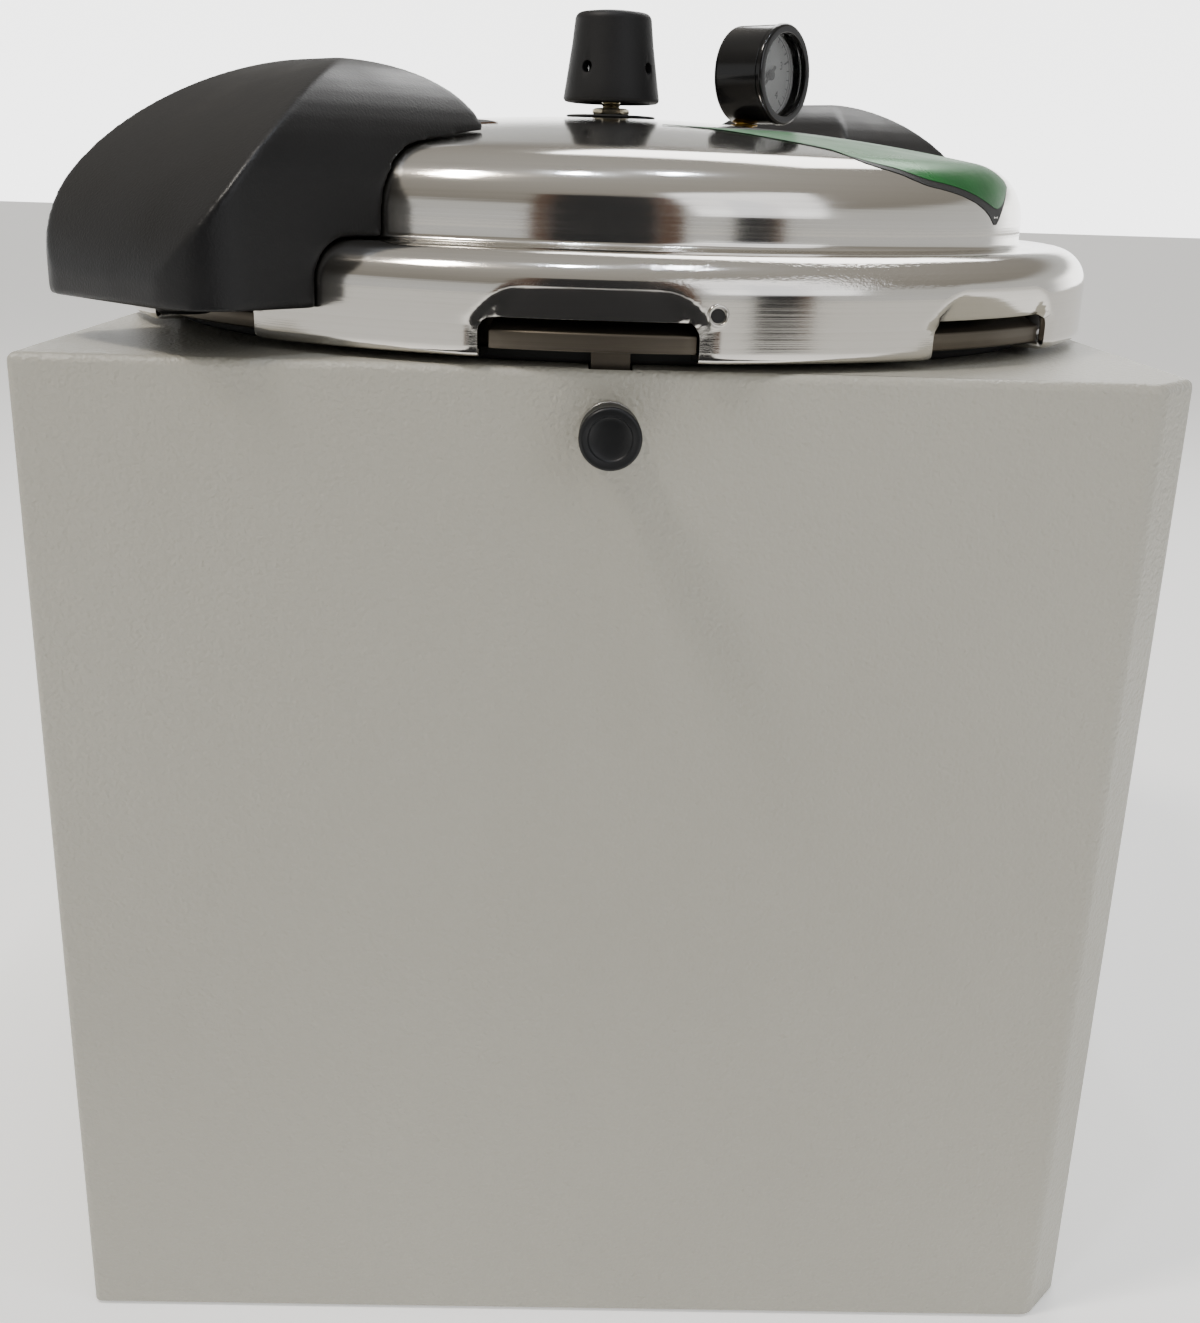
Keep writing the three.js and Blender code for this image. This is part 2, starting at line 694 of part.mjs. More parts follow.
function buildLid() {
  const w = lid.wall;
  const inner = Array.from({ length: 4 }, (_, i) => {
    const r = (domeEdge * i) / 4;
    return [r, domeHeight(r) - w];
  });
  const { crownFillet, shoulder, stepRadius } = lid;
  const profile = [
    ...lidOutside(),
    [lipInner, skirtBottom],
    [lipInner, lipTop],
    [skirtInner, lipTop],
    ...arc(skirtOuter - shoulder, stepTop - shoulder, shoulder - w, shoulder - w, 0, 90, 2),
    [stepRadius - w, stepInside],
    ...arc(domeEdge, wallTop, crownFillet - w, crownFillet - w, 0, 90, 3),
    ...inner.reverse(),
  ];
  const gaps = lugAzimuths.map((azimuth) =>
    sector(lipInner - 3, skirtOuter + 3, azimuth, locking.gapAngle, skirtBottom - 1, gapTop),
  );
  const eyelet = round(lid.eyeletRadius, -8, 8, 16)
    .rotate([90, 0, 0])
    .translate([0, -skirtOuter + lid.wall / 2, stepTop - lid.eyeletDrop])
    .rotate([0, 0, lid.eyeletAzimuth]);
  const holes = [
    round(stem.radius + stem.holeGap, domeTop - 9, domeTop + 2, 20),
    round(gauge.stemRadius + stem.holeGap, domeTop - 15, domeTop + 2, 20).translate([gauge.stemX, 0, 0]),
    round(plug.holeRadius, domeTop - 20, domeTop + 2, 20).translate([0, plug.back, 0]),
  ];
  piece("lid_shell", cut(turned(profile, 48), ...gaps, eyelet, ...holes), finish.aluminium);

  piece(
    "lid_gasket",
    tube(rimOuter - gasket.width, rimOuter, gasketBottom, gasketTop, 48),
    finish.rubber,
  );

  const seat = domeHeight(plug.back - plug.headRadius);
  const under = domeHeight(plug.back + plug.headRadius) - w;
  const bung = turned(
    [
      [0, under - plug.tailHeight], [plug.holeRadius + 1, under - plug.tailHeight],
      [plug.holeRadius + 1, under - touch], [plug.holeRadius - touch, under - touch],
      [plug.holeRadius - touch, seat + touch], [plug.headRadius, seat + touch],
      [plug.headRadius - 1, seat + plug.headHeight], [0, seat + plug.headHeight],
    ],
    24,
  );
  piece("safety_plug", bung.translate([0, plug.back, 0]), finish.rubber);
}

// ---------------------------------------------------------------- lid handles

// One handle lying along +X, before it is turned to its azimuth.
function handleBody() {
  const h = handle;
  const foot = handleBottom + h.upright;
  const outline = [
    [h.reach, handleBottom],
    ...swell(h.topInner, foot, h.reach - h.topInner, handleTop - foot, h.slope, 12),
    ...arc(h.topInner, handleTop - h.innerCurve, h.topInner - h.inner, h.innerCurve, 90, 180, 4).slice(1),
    [h.inner, filletTop - 14],
    [skirtInner - 6, handleBottom],
  ];
  const half = h.width / 2;
  const sideView = pushed(outline, -half, half).rotate([90, 0, 0]);
  const endView = pushed(
    [
      [-half, 0], [half, 0],
      ...arc(half - h.round, handleTop - h.round, h.round, h.round, 0, 90, 4),
      ...arc(h.round - half, handleTop - h.round, h.round, h.round, 90, 180, 4),
    ],
    0, h.reach + 1,
  ).rotate([90, 0, 90]);
  const planView = pushed(
    [
      [h.inner - 1, -half],
      ...arc(h.reach - h.plan, h.plan - half, h.plan, h.plan, -90, 0, 5),
      ...arc(h.reach - h.plan, half - h.plan, h.plan, h.plan, 0, 90, 5),
      [h.inner - 1, half],
    ],
    0, handleTop + 1,
  );
  let body = sideView.intersect(endView).intersect(planView);
  const envelope = [...lidOutside(h.clearance).slice(0, -1), [skirtOuter + h.clearance, 0], [0, 0]];
  body = cut(body, turned(envelope, 48));
  const slot = bracket.width / 2 + bracket.slotGap;
  const low = stepTop + bracket.above;
  const leg = lid.stepRadius + bracket.thickness + 0.7;
  const cavity = box(h.cavityFrom, -h.cavityWidth / 2, 0, h.cavityTo, h.cavityWidth / 2, handleCavityTop);
  const boss = round(h.bossRadius, handleBottom - h.bossDrop, handleCavityTop + 1, 20);
  body = join(cut(body, cavity), boss.translate([h.screwRadius, 0, 0]));
  return cut(
    body,
    box(
      lid.stepRadius - 20, -slot, low - bracket.slotGap,
      bracket.reach + bracket.slotGap, slot, low + bracket.thickness + bracket.slotGap,
    ),
    box(
      lid.stepRadius - 20, -slot, low - bracket.slotGap,
      leg + bracket.slotGap, slot, low + bracket.legHeight + bracket.slotGap,
    ),
    round(m6.hole, 0, low + bracket.thickness + m6.tail + 1, 16).translate([h.screwRadius, 0, 0]),
    round(m6.head + touch, 0, handleBottom - h.bossDrop + m6.headHeight + 1, 16)
      .translate([h.screwRadius, 0, 0]),
  );
}

function bracketBody() {
  const half = bracket.width / 2;
  const low = stepTop + bracket.above;
  const leg = lid.stepRadius + 0.7;
  return cut(
    join(
      box(leg, -half, low, leg + bracket.thickness, half, low + bracket.legHeight),
      box(leg, -half, low, bracket.reach, half, low + bracket.thickness),
    ),
    round(m6.hole, low - 1, low + bracket.thickness + 1, 16).translate([handle.screwRadius, 0, 0]),
  );
}

function buildHandles() {
  const low = handleBottom - handle.bossDrop + 1;
  const top = stepTop + bracket.above + bracket.thickness + m6.tail;
  const fixing = join(
    round(m6.shank, low + 1, top, 16),
    round(m6.head, low, low + m6.headHeight - 0.5, 16),
  ).translate([handle.screwRadius, 0, 0]);
  const sides = [["front", handle.azimuth], ["rear", handle.azimuth + 180]];
  for (const [side, azimuth] of sides) {
    const turn = [0, 0, azimuth - 90];
    piece(`lid_handle_${side}`, handleBody().rotate(turn), finish.phenolic);
    piece(`handle_bracket_${side}`, bracketBody().rotate(turn), finish.bareSteel);
    piece(`handle_screw_${side}`, fixing.rotate(turn), finish.bareSteel);
  }
}

// ---------------------------------------------------------------- vent stem and regulator weight

function buildRegulator() {
  const under = domeTop - lid.wall;
  const bottom = domeTop - stem.below;
  piece(
    "vent_stem",
    turned([[stem.bore, bottom], [stem.radius, bottom], [stem.radius, stemTop], [stem.bore, stemTop]], 20),
    finish.bareSteel,
  );
  const clear = stem.radius + touch;
  const bored = (body) => cut(body, round(clear, 0, 2 * domeTop, 20));
  piece("stem_washer", bored(round(washer.radius, domeTop + touch, washerTop, 28)), finish.rubber);
  piece("stem_nut", bored(hexagon(stemNut.acrossFlats, washerTop + touch, stemNutTop)), finish.bareSteel);
  const innerTop = under - touch;
  piece(
    "stem_inner_nut",
    bored(hexagon(innerNut.acrossFlats, innerTop - innerNut.height, innerTop)),
    finish.bareSteel,
  );

  const z = weightBottom;
  const shoulder = z + weight.height - weight.crown;
  const lean = (weight.bottomRadius - weight.topRadius) / weight.height;
  const outside = (h) => weight.bottomRadius - lean * h;
  const top = z + weight.height;
  const ceiling = shoulder - weight.wall;
  const capProfile = [
    [outside(0) - weight.wall, z],
    [outside(0) - weight.edge, z],
    [outside(weight.edge), z + weight.edge],
    [outside(weight.height - weight.crown - 1), shoulder - 1],
    [weight.topRadius - 1.6, shoulder + weight.crown * 0.5],
    [weight.topRadius * 0.6, top - 0.3],
    [0, top],
    [0, ceiling],
    [outside(weight.height - weight.crown) - weight.wall, ceiling],
  ];
  const vent = round(weight.ventRadius, weight.insertRadius + 1, weight.bottomRadius + 2, 12)
    .rotate([90, 0, 0])
    .translate([0, 0, z + weight.ventHeight]);
  const ventCuts = Array.from({ length: weight.vents }, (_, i) =>
    vent.rotate([0, 0, weight.ventAzimuth + (360 / weight.vents) * i]),
  );
  piece("regulator_cap", cut(turned(capProfile, 28), ...ventCuts), finish.phenolic);

  const seat = stemTop + touch;
  const insert = cut(
    round(weight.insertRadius, z + weight.insertLift, ceiling - touch, 24),
    round(clear + 0.2, 0, seat, 20),
  );
  piece("regulator_insert", insert, finish.bareSteel);
}

// ---------------------------------------------------------------- pressure gauge

// In the gauge's own frame +Z is out of the dial, +Y is up and the case's middle is at the origin.
function buildGauge() {
  const g = gauge;
  const rear = -(g.caseDepth + g.bezelDepth) / 2;
  const frontEdge = rear + g.caseDepth;
  const out = new THREE.Vector3(Math.sin(rad(g.faceAzimuth)), -Math.cos(rad(g.faceAzimuth)), 0);
  const up = new THREE.Vector3(0, 0, 1);
  const across = up.clone().cross(out);
  const setback = -(rear + g.stemSetback);
  const centre = new THREE.Vector3(g.stemX, 0, 0).addScaledVector(out, setback);
  const caseBottom = domeHeight(g.stemX) + g.standoff;
  centre.z = caseBottom + g.caseRadius;
  const frame = new THREE.Group();
  frame.quaternion.setFromRotationMatrix(new THREE.Matrix4().makeBasis(across, up, out));
  frame.position.copy(centre);
  canner.add(frame);
  const part = (name, body, material) => piece(name, body, material, frame);

  const bore = g.caseRadius - g.caseWall;
  const shell = turned(
    [
      [0, rear], [g.caseRadius - 2.5, rear], [g.caseRadius, rear + 2.5], [g.caseRadius, frontEdge],
      [bore, frontEdge], [bore, rear + g.caseWall + 1.5], [0, rear + g.caseWall + 1.5],
    ],
    28,
  );
  const entry = round(g.stemRadius + touch, 0, g.caseRadius + 2, 20)
    .rotate([90, 0, 0])
    .translate([0, 0, -setback]);
  part("gauge_case", cut(shell, entry), finish.glossBlack);
  part(
    "gauge_bezel",
    tube(g.caseRadius - g.bezelWidth, g.caseRadius + 0.4, frontEdge + touch, frontEdge + g.bezelDepth, 28),
    finish.glossBlack,
  );
  const lensFront = frontEdge - 0.2;
  part("gauge_lens", round(bore - 0.4, lensFront - g.lensThickness, lensFront, 24), finish.glass);

  const dialFace = frontEdge - g.dialDepth;
  const hub = 1.1;
  part("gauge_dial", tube(hub + 0.3, bore - 0.5, dialFace - g.dialThickness, dialFace, 24),
    finish.dialPaper);
  const half = g.pointerWidth / 2;
  const arm = pushed(
    [[-5, -half], [g.pointerLength - 3, -half], [g.pointerLength, 0], [g.pointerLength - 3, half],
      [-5, half]],
    dialFace + 1, dialFace + 1.6,
  );
  const needle = join(
    arm.rotate([0, 0, g.pointerZero]),
    round(2.2, dialFace + 1, dialFace + 2.2, 16),
    round(hub, dialFace - 5, dialFace + 1.5, 12),
  );
  part("gauge_pointer", needle, finish.glossBlack);

  const blockBack = rear + g.caseWall + 1.5 + touch;
  const blockFront = dialFace - g.dialThickness - 0.6;
  part(
    "gauge_movement",
    cut(box(-6, -7, blockBack, 6, 7, blockFront), round(hub + 0.3, dialFace - 7, blockFront + 1, 12)),
    finish.brass,
  );
  const section = new THREE.Shape([
    new THREE.Vector2(-1.5, -1), new THREE.Vector2(1.5, -1),
    new THREE.Vector2(1.5, 1), new THREE.Vector2(-1.5, 1),
  ]);
  const curve = new THREE.CatmullRomCurve3(
    arc(0, 0, g.tubeRadius, g.tubeRadius, -60, 190, 20).map(
      ([x, y]) => new THREE.Vector3(x, y, blockBack + 2),
    ),
  );
  const coil = new THREE.ExtrudeGeometry(section, { steps: 24, bevelEnabled: false, extrudePath: curve });
  part("bourdon_tube", solid(coil), finish.brass);

  const dome = domeHeight(g.stemX - g.collarRadius) - centre.z + touch;
  const under = domeHeight(g.stemX + 8) - lid.wall - centre.z - touch;
  const foot = under - g.nutHeight - 1.5;
  const shaft = turned(
    [
      [0, foot], [g.stemRadius, foot], [g.stemRadius, dome], [g.collarRadius, dome],
      [g.collarRadius, dome + 0.7], [g.stemRadius, dome + 0.7], [g.stemRadius, -g.caseRadius + 5],
      [0, -g.caseRadius + 5],
    ],
    20,
  );
  const upright = (body) => body.rotate([-90, 0, 0]).translate([0, 0, -setback]);
  part("gauge_stem", upright(shaft), finish.brass);
  const nut = cut(
    hexagon(g.nutAcrossFlats, under - g.nutHeight, under),
    round(g.stemRadius + touch, under - 10, under + 2, 20),
  );
  part("gauge_nut", upright(nut), finish.brass);
}

// ---------------------------------------------------------------- power inlet and switch

function buildBackFittings() {
  const face = back - cabinet.sheet + touch;
  const i = inlet;
  const span = (part, grow, y0, y1) =>
    box(
      part.x - part.width / 2 - grow, y0, part.z - part.height / 2 - grow,
      part.x + part.width / 2 + grow, y1, part.z + part.height / 2 + grow,
    );
  const outer = face + i.flangeThickness;
  const pocket = box(
    i.x - i.pocketWidth / 2, outer - i.pocketDepth, i.z - i.pocketHeight / 2,
    i.x + i.pocketWidth / 2, outer + 1, i.z + i.pocketHeight / 2,
  );
  const pins = [-1, 0, 1].map((side) => {
    const x = i.x + side * i.pinPitch;
    const z = i.z + (side === 0 ? 2 : -2);
    return box(
      x - i.pinWidth / 2, outer - i.pocketDepth - 1, z - i.pinHeight / 2,
      x + i.pinWidth / 2, outer - 2, z + i.pinHeight / 2,
    );
  });
  const housing = join(span(i, 0, outer - i.depth, face + 1), span(i, i.flange, face, outer));
  piece("power_inlet", join(cut(housing, pocket), ...pins), finish.blackPlastic);

  const r = rocker;
  const frameFace = face + r.frameThickness;
  const frameBody = join(span(r, 0, frameFace - r.depth, face + 1), span(r, r.frame, face, frameFace));
  const well = span(r, -r.wall, frameFace - r.depth + r.wall, frameFace + 1);
  piece("switch_frame", cut(frameBody, well), finish.blackPlastic);

  const halfHeight = r.height / 2 - r.wall - r.endGap;
  const halfWidth = r.width / 2 - r.wall - r.side;
  const rise = Math.tan(rad(r.tilt)) * halfHeight;
  const outline = [
    [-halfHeight + 1, -5], [halfHeight - 1, -5], [halfHeight, r.proud - rise * 2],
    [0, r.proud - rise * 0.6], [-halfHeight, r.proud],
  ];
  const body = pushed(outline, -halfWidth, halfWidth).rotate([0, 90, 0]);
  const placed = body.translate([r.x, frameFace - 1, r.z]);
  piece("switch_rocker", placed, finish.blackPlastic);
}

buildCabinet();
buildPan();
buildHeater();
buildPot();
buildPlunger();
buildLid();
buildHandles();
buildRegulator();
buildGauge();
buildBackFittings();

export default canner;
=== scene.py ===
"""Cabinet pressure canner: the finished looks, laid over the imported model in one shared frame.

Metres, +Z up. The origin is the centre of the base pan's underside and the front panel faces -Y.
Sizes in the dataclasses are in millimetres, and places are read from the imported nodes' boxes.
"""

import functools
import json
import logging
import math
from collections.abc import Callable, Iterable, Sequence
from dataclasses import dataclass, field
from enum import Enum

import bmesh
import bpy
from mathutils import Matrix, Vector

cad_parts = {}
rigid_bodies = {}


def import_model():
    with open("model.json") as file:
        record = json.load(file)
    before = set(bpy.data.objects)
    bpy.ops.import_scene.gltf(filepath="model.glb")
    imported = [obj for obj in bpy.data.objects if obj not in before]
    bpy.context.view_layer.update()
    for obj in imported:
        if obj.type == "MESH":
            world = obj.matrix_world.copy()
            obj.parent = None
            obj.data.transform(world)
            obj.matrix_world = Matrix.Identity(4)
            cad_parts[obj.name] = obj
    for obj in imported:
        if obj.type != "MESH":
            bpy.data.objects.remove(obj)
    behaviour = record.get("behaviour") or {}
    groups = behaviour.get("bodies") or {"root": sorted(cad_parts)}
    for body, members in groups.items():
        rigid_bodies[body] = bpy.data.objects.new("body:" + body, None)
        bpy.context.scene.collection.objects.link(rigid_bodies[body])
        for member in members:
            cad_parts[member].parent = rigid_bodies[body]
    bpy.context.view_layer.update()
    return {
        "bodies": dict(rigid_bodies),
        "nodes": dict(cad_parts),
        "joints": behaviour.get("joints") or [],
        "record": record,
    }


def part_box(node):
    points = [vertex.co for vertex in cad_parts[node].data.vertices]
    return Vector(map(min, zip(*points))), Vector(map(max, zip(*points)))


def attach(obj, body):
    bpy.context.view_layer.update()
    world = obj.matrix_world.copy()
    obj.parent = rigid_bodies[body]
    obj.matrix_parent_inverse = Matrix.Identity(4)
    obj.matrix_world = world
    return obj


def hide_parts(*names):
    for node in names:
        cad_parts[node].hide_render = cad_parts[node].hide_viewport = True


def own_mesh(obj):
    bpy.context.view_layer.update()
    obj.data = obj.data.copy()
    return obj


LOG = logging.getLogger("canner")
MM = 0.001

Profile = list[tuple[float, float]]


class Body(Enum):
    """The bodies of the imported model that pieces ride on."""

    CABINET = "cabinet"
    LID = "lid"
    WEIGHT = "weight"
    POINTER = "pointer"
    PLUNGER = "plunger"
    ROCKER = "rocker"


class Slot(Enum):
    """The record's material slots."""

    PAINTED_STEEL = "painted_steel"
    BARE_STEEL = "bare_steel"
    POLISHED_ALUMINIUM = "polished_aluminium"
    POT_ALUMINIUM = "pot_aluminium"
    PHENOLIC = "phenolic"
    BLACK_PLASTIC = "black_plastic"
    GLOSS_BLACK = "gloss_black"
    RUBBER = "rubber"
    BRASS = "brass"
    GLASS = "glass"
    DIAL = "dial"


# ---------------------------------------------------------------- finishes


def linear(code: str) -> tuple[float, float, float, float]:
    """Turns an sRGB hex colour into linear RGBA.

    Args:
        code: six hex digits.

    Returns:
        The linear colour with an alpha of 1.
    """
    parts = [int(code[i : i + 2], 16) / 255 for i in (0, 2, 4)]
    r, g, b = [c / 12.92 if c <= 0.04045 else ((c + 0.055) / 1.055) ** 2.4 for c in parts]
    return (r, g, b, 1.0)


def add_node(
    tree: bpy.types.NodeTree,
    kind: str,
    settings: dict | None = None,
    values: dict | None = None,
    links: dict | None = None,
) -> bpy.types.Node:
    """Adds a shader node with its settings and links.

    Args:
        tree: the node tree it goes in.
        kind: the node's type name.
        settings: attributes set on the node.
        values: numbers and colours set on its inputs.
        links: outputs of other nodes that go into its inputs.

    Returns:
        The new node.
    """
    node = tree.nodes.new(kind)
    for name, value in (settings or {}).items():
        setattr(node, name, value)
    for name, value in (values or {}).items():
        node.inputs[name].default_value = value
    for name, source in (links or {}).items():
        tree.links.new(source, node.inputs[name])
    return node


@dataclass(frozen=True)
class Finish:
    """A finish: its colour, its gloss and the fine grain that its making leaves.

    The grain is the size of one bump in millimetres, and its depth is how high a bump stands.
    """

    name: str
    slot: Slot
    colour: str
    tint: str
    roughness: float
    spread: float = 0.06
    metallic: float = 0.0
    grain: float = 1.0
    depth: float = 0.02
    coat: float = 0.0
    specular: float = 0.5
    glow: float = 0.0

    def material(self) -> bpy.types.Material:
        """Makes the material once and returns it."""
        found = bpy.data.materials.get(self.name)
        if found:
            return found
        made = bpy.data.materials.new(self.name)
        made.use_nodes = True
        tree = made.node_tree
        tree.nodes.clear()
        shader = add_node(
            tree,
            "ShaderNodeBsdfPrincipled",
            values={
                "Base Color": linear(self.colour),
                "Roughness": self.roughness,
                "Metallic": self.metallic,
                "Coat Weight": self.coat,
                "Coat Roughness": 0.08,
                "Specular IOR Level": self.specular,
                "Emission Color": linear(self.colour),
                "Emission Strength": self.glow,
            },
        )
        add_node(tree, "ShaderNodeOutputMaterial", links={"Surface": shader.outputs["BSDF"]})
        place = add_node(tree, "ShaderNodeTexCoord").outputs["Object"]
        self.detail(tree, shader, place)
        return made

    def vary(
        self, tree: bpy.types.NodeTree, shader: bpy.types.Node, factor: bpy.types.NodeSocket
    ) -> None:
        """Lets a pattern move the colour and the roughness.

        Args:
            tree: the material's nodes.
            shader: its shader.
            factor: the pattern, about 0.3 to 0.7.
        """
        shade = add_node(
            tree,
            "ShaderNodeMix",
            {"data_type": "RGBA"},
            {"A": linear(self.colour), "B": linear(self.tint)},
            {"Factor": factor},
        )
        tree.links.new(shade.outputs["Result"], shader.inputs["Base Color"])
        gloss = add_node(
            tree,
            "ShaderNodeMapRange",
            values={
                "From Min": 0.3,
                "From Max": 0.7,
                "To Min": self.roughness - self.spread,
                "To Max": self.roughness + self.spread,
            },
            links={"Value": factor},
        )
        tree.links.new(gloss.outputs["Result"], shader.inputs["Roughness"])

    def detail(
        self, tree: bpy.types.NodeTree, shader: bpy.types.Node, place: bpy.types.NodeSocket
    ) -> None:
        """Adds cloudy colour and an even grain.

        Args:
            tree: the material's nodes.
            shader: its shader.
            place: object coordinates, in metres.
        """
        clouds = add_node(
            tree, "ShaderNodeTexNoise", values={"Scale": 34.0, "Detail": 5.0}, links={"Vector": place}
        )
        self.vary(tree, shader, clouds.outputs["Fac"])
        grain = add_node(
            tree,
            "ShaderNodeTexNoise",
            values={"Scale": 1 / (self.grain * MM), "Detail": 2.0},
            links={"Vector": place},
        )
        bump = add_node(
            tree,
            "ShaderNodeBump",
            values={"Strength": 1.0, "Distance": self.depth * MM},
            links={"Height": grain.outputs["Fac"]},
        )
        tree.links.new(bump.outputs["Normal"], shader.inputs["Normal"])


@dataclass(frozen=True)
class PowderCoat(Finish):
    """Textured powder coat: pebbles that run together, on broad shallow waves."""

    def detail(
        self, tree: bpy.types.NodeTree, shader: bpy.types.Node, place: bpy.types.NodeSocket
    ) -> None:
        """Adds the pebbled skin.

        Args:
            tree: the material's nodes.
            shader: its shader.
            place: object coordinates, in metres.
        """
        clouds = add_node(
            tree, "ShaderNodeTexNoise", values={"Scale": 5.0, "Detail": 3.0}, links={"Vector": place}
        )
        self.vary(tree, shader, clouds.outputs["Fac"])
        pebbles = add_node(
            tree,
            "ShaderNodeTexVoronoi",
            {"feature": "SMOOTH_F1"},
            {"Scale": 1 / (self.grain * MM), "Smoothness": 0.7, "Randomness": 1.0},
            {"Vector": place},
        )
        fine = add_node(
            tree,
            "ShaderNodeTexNoise",
            values={"Scale": 0.9 / (self.grain * MM), "Detail": 3.0, "Distortion": 0.6},
            links={"Vector": place},
        )
        skin = add_node(
            tree,
            "ShaderNodeMath",
            {"operation": "MULTIPLY_ADD"},
            {1: 0.5},
            {0: pebbles.outputs["Distance"], 2: fine.outputs["Fac"]},
        )
        bump = add_node(
            tree,
            "ShaderNodeBump",
            values={"Strength": 1.0, "Distance": self.depth * MM},
            links={"Height": skin.outputs["Value"]},
        )
        tree.links.new(bump.outputs["Normal"], shader.inputs["Normal"])


@dataclass(frozen=True)
class SpunAluminium(Finish):
    """Aluminium polished on the lathe: rings round the axis, broken up by handling marks."""

    brushed: float = 0.55
    wrinkle: float = 0.0

    def detail(
        self, tree: bpy.types.NodeTree, shader: bpy.types.Node, place: bpy.types.NodeSocket
    ) -> None:
        """Adds the turning rings, the cloudy polish and the pressed skin on the brim.

        Args:
            tree: the material's nodes.
            shader: its shader.
            place: object coordinates, in metres.
        """
        flat = add_node(
            tree,
            "ShaderNodeVectorMath",
            {"operation": "MULTIPLY"},
            {1: (1, 1, 0)},
            {0: place},
        )
        radius = add_node(
            tree, "ShaderNodeVectorMath", {"operation": "LENGTH"}, links={0: flat.outputs["Vector"]}
        )
        parts = add_node(tree, "ShaderNodeSeparateXYZ", links={"Vector": place})
        turned_place = add_node(
            tree,
            "ShaderNodeCombineXYZ",
            links={"X": radius.outputs["Value"], "Y": parts.outputs["Z"]},
        )
        rings = add_node(
            tree,
            "ShaderNodeTexNoise",
            values={"Scale": 1 / (self.grain * MM), "Detail": 4.0, "Roughness": 0.7},
            links={"Vector": turned_place.outputs["Vector"]},
        )
        clouds = add_node(
            tree,
            "ShaderNodeTexNoise",
            values={"Scale": 22.0, "Detail": 6.0, "Roughness": 0.65, "Distortion": 0.4},
            links={"Vector": place},
        )
        pattern = add_node(
            tree,
            "ShaderNodeMix",
            {"data_type": "FLOAT"},
            {"Factor": 0.45},
            {"A": rings.outputs["Fac"], "B": clouds.outputs["Fac"]},
        )
        self.vary(tree, shader, pattern.outputs["Result"])
        shader.inputs["Anisotropic"].default_value = self.brushed
        tangent = add_node(tree, "ShaderNodeTangent", {"direction_type": "RADIAL", "axis": "Z"})
        tree.links.new(tangent.outputs["Tangent"], shader.inputs["Tangent"])
        bump = add_node(
            tree,
            "ShaderNodeBump",
            values={"Strength": 1.0, "Distance": self.depth * MM},
            links={"Height": rings.outputs["Fac"]},
        )
        normal = bump.outputs["Normal"]
        if self.wrinkle:
            normal = self.pressed(tree, place, parts.outputs["Z"], normal)
        tree.links.new(normal, shader.inputs["Normal"])

    def pressed(
        self,
        tree: bpy.types.NodeTree,
        place: bpy.types.NodeSocket,
        height: bpy.types.NodeSocket,
        under: bpy.types.NodeSocket,
    ) -> bpy.types.NodeSocket:
        """Adds the uneven skin that pressing leaves on the brim, below the step.

        Args:
            tree: the material's nodes.
            place: object coordinates, in metres.
            height: their Z.
            under: the normal it is laid over.

        Returns:
            The new normal.
        """
        stretched = add_node(
            tree,
            "ShaderNodeVectorMath",
            {"operation": "MULTIPLY"},
            {1: (1.0, 1.0, 2.6)},
            {0: place},
        )
        ripple = add_node(
            tree,
            "ShaderNodeTexNoise",
            values={"Scale": 420.0, "Detail": 3.0, "Roughness": 0.6},
            links={"Vector": stretched.outputs["Vector"]},
        )
        where = add_node(
            tree,
            "ShaderNodeTexNoise",
            values={"Scale": 7.0, "Detail": 1.0},
            links={"Vector": place},
        )
        patch = add_node(
            tree,
            "ShaderNodeMapRange",
            values={"From Min": 0.48, "From Max": 0.62},
            links={"Value": where.outputs["Fac"]},
        )
        below = add_node(
            tree,
            "ShaderNodeMapRange",
            values={"From Min": 0.4190, "From Max": 0.4170},
            links={"Value": height},
        )
        above = add_node(
            tree,
            "ShaderNodeMapRange",
            values={"From Min": 0.4095, "From Max": 0.4115},
            links={"Value": height},
        )
        brim = add_node(
            tree,
            "ShaderNodeMath",
            {"operation": "MULTIPLY"},
            links={0: below.outputs["Result"], 1: above.outputs["Result"]},
        )
        both = add_node(
            tree,
            "ShaderNodeMath",
            {"operation": "MULTIPLY"},
            links={0: patch.outputs["Result"], 1: brim.outputs["Value"]},
        )
        lift = add_node(
            tree,
            "ShaderNodeMath",
            {"operation": "MULTIPLY"},
            links={0: both.outputs["Value"], 1: ripple.outputs["Fac"]},
        )
        bump = add_node(
            tree,
            "ShaderNodeBump",
            values={"Strength": 1.0, "Distance": self.wrinkle * MM},
            links={"Height": lift.outputs["Value"], "Normal": under},
        )
        return bump.outputs["Normal"]


@dataclass(frozen=True)
class ClearGlass(Finish):
    """Clear lens glass with faint wiping marks."""

    def detail(
        self, tree: bpy.types.NodeTree, shader: bpy.types.Node, place: bpy.types.NodeSocket
    ) -> None:
        """Makes it clear and lets the gloss vary a little.

        Args:
            tree: the material's nodes.
            shader: its shader.
            place: object coordinates, in metres.
        """
        shader.inputs["Transmission Weight"].default_value = 1.0
        shader.inputs["IOR"].default_value = 1.48
        smears = add_node(
            tree, "ShaderNodeTexNoise", values={"Scale": 120.0, "Detail": 4.0}, links={"Vector": place}
        )
        self.vary(tree, shader, smears.outputs["Fac"])


# Polyester powder coat on steel, coarse texture: warm light grey, soft gloss broken by pebbles.
CABINET_COAT = PowderCoat(
    "powder_coat_warm_grey", Slot.PAINTED_STEEL, "A8A69B", "9F9C91", 0.38, 0.05, grain=1.7, depth=0.6
)
# Aluminium, spun and polished on the lathe: mirror-bright with fine rings and cloudy handling marks.
LID_POLISH = SpunAluminium(
    "spun_polished_aluminium", Slot.POLISHED_ALUMINIUM, "DEDBD5", "C9C5BD", 0.11, 0.05, 1.0,
    grain=1.1, depth=0.022, wrinkle=0.3,
)
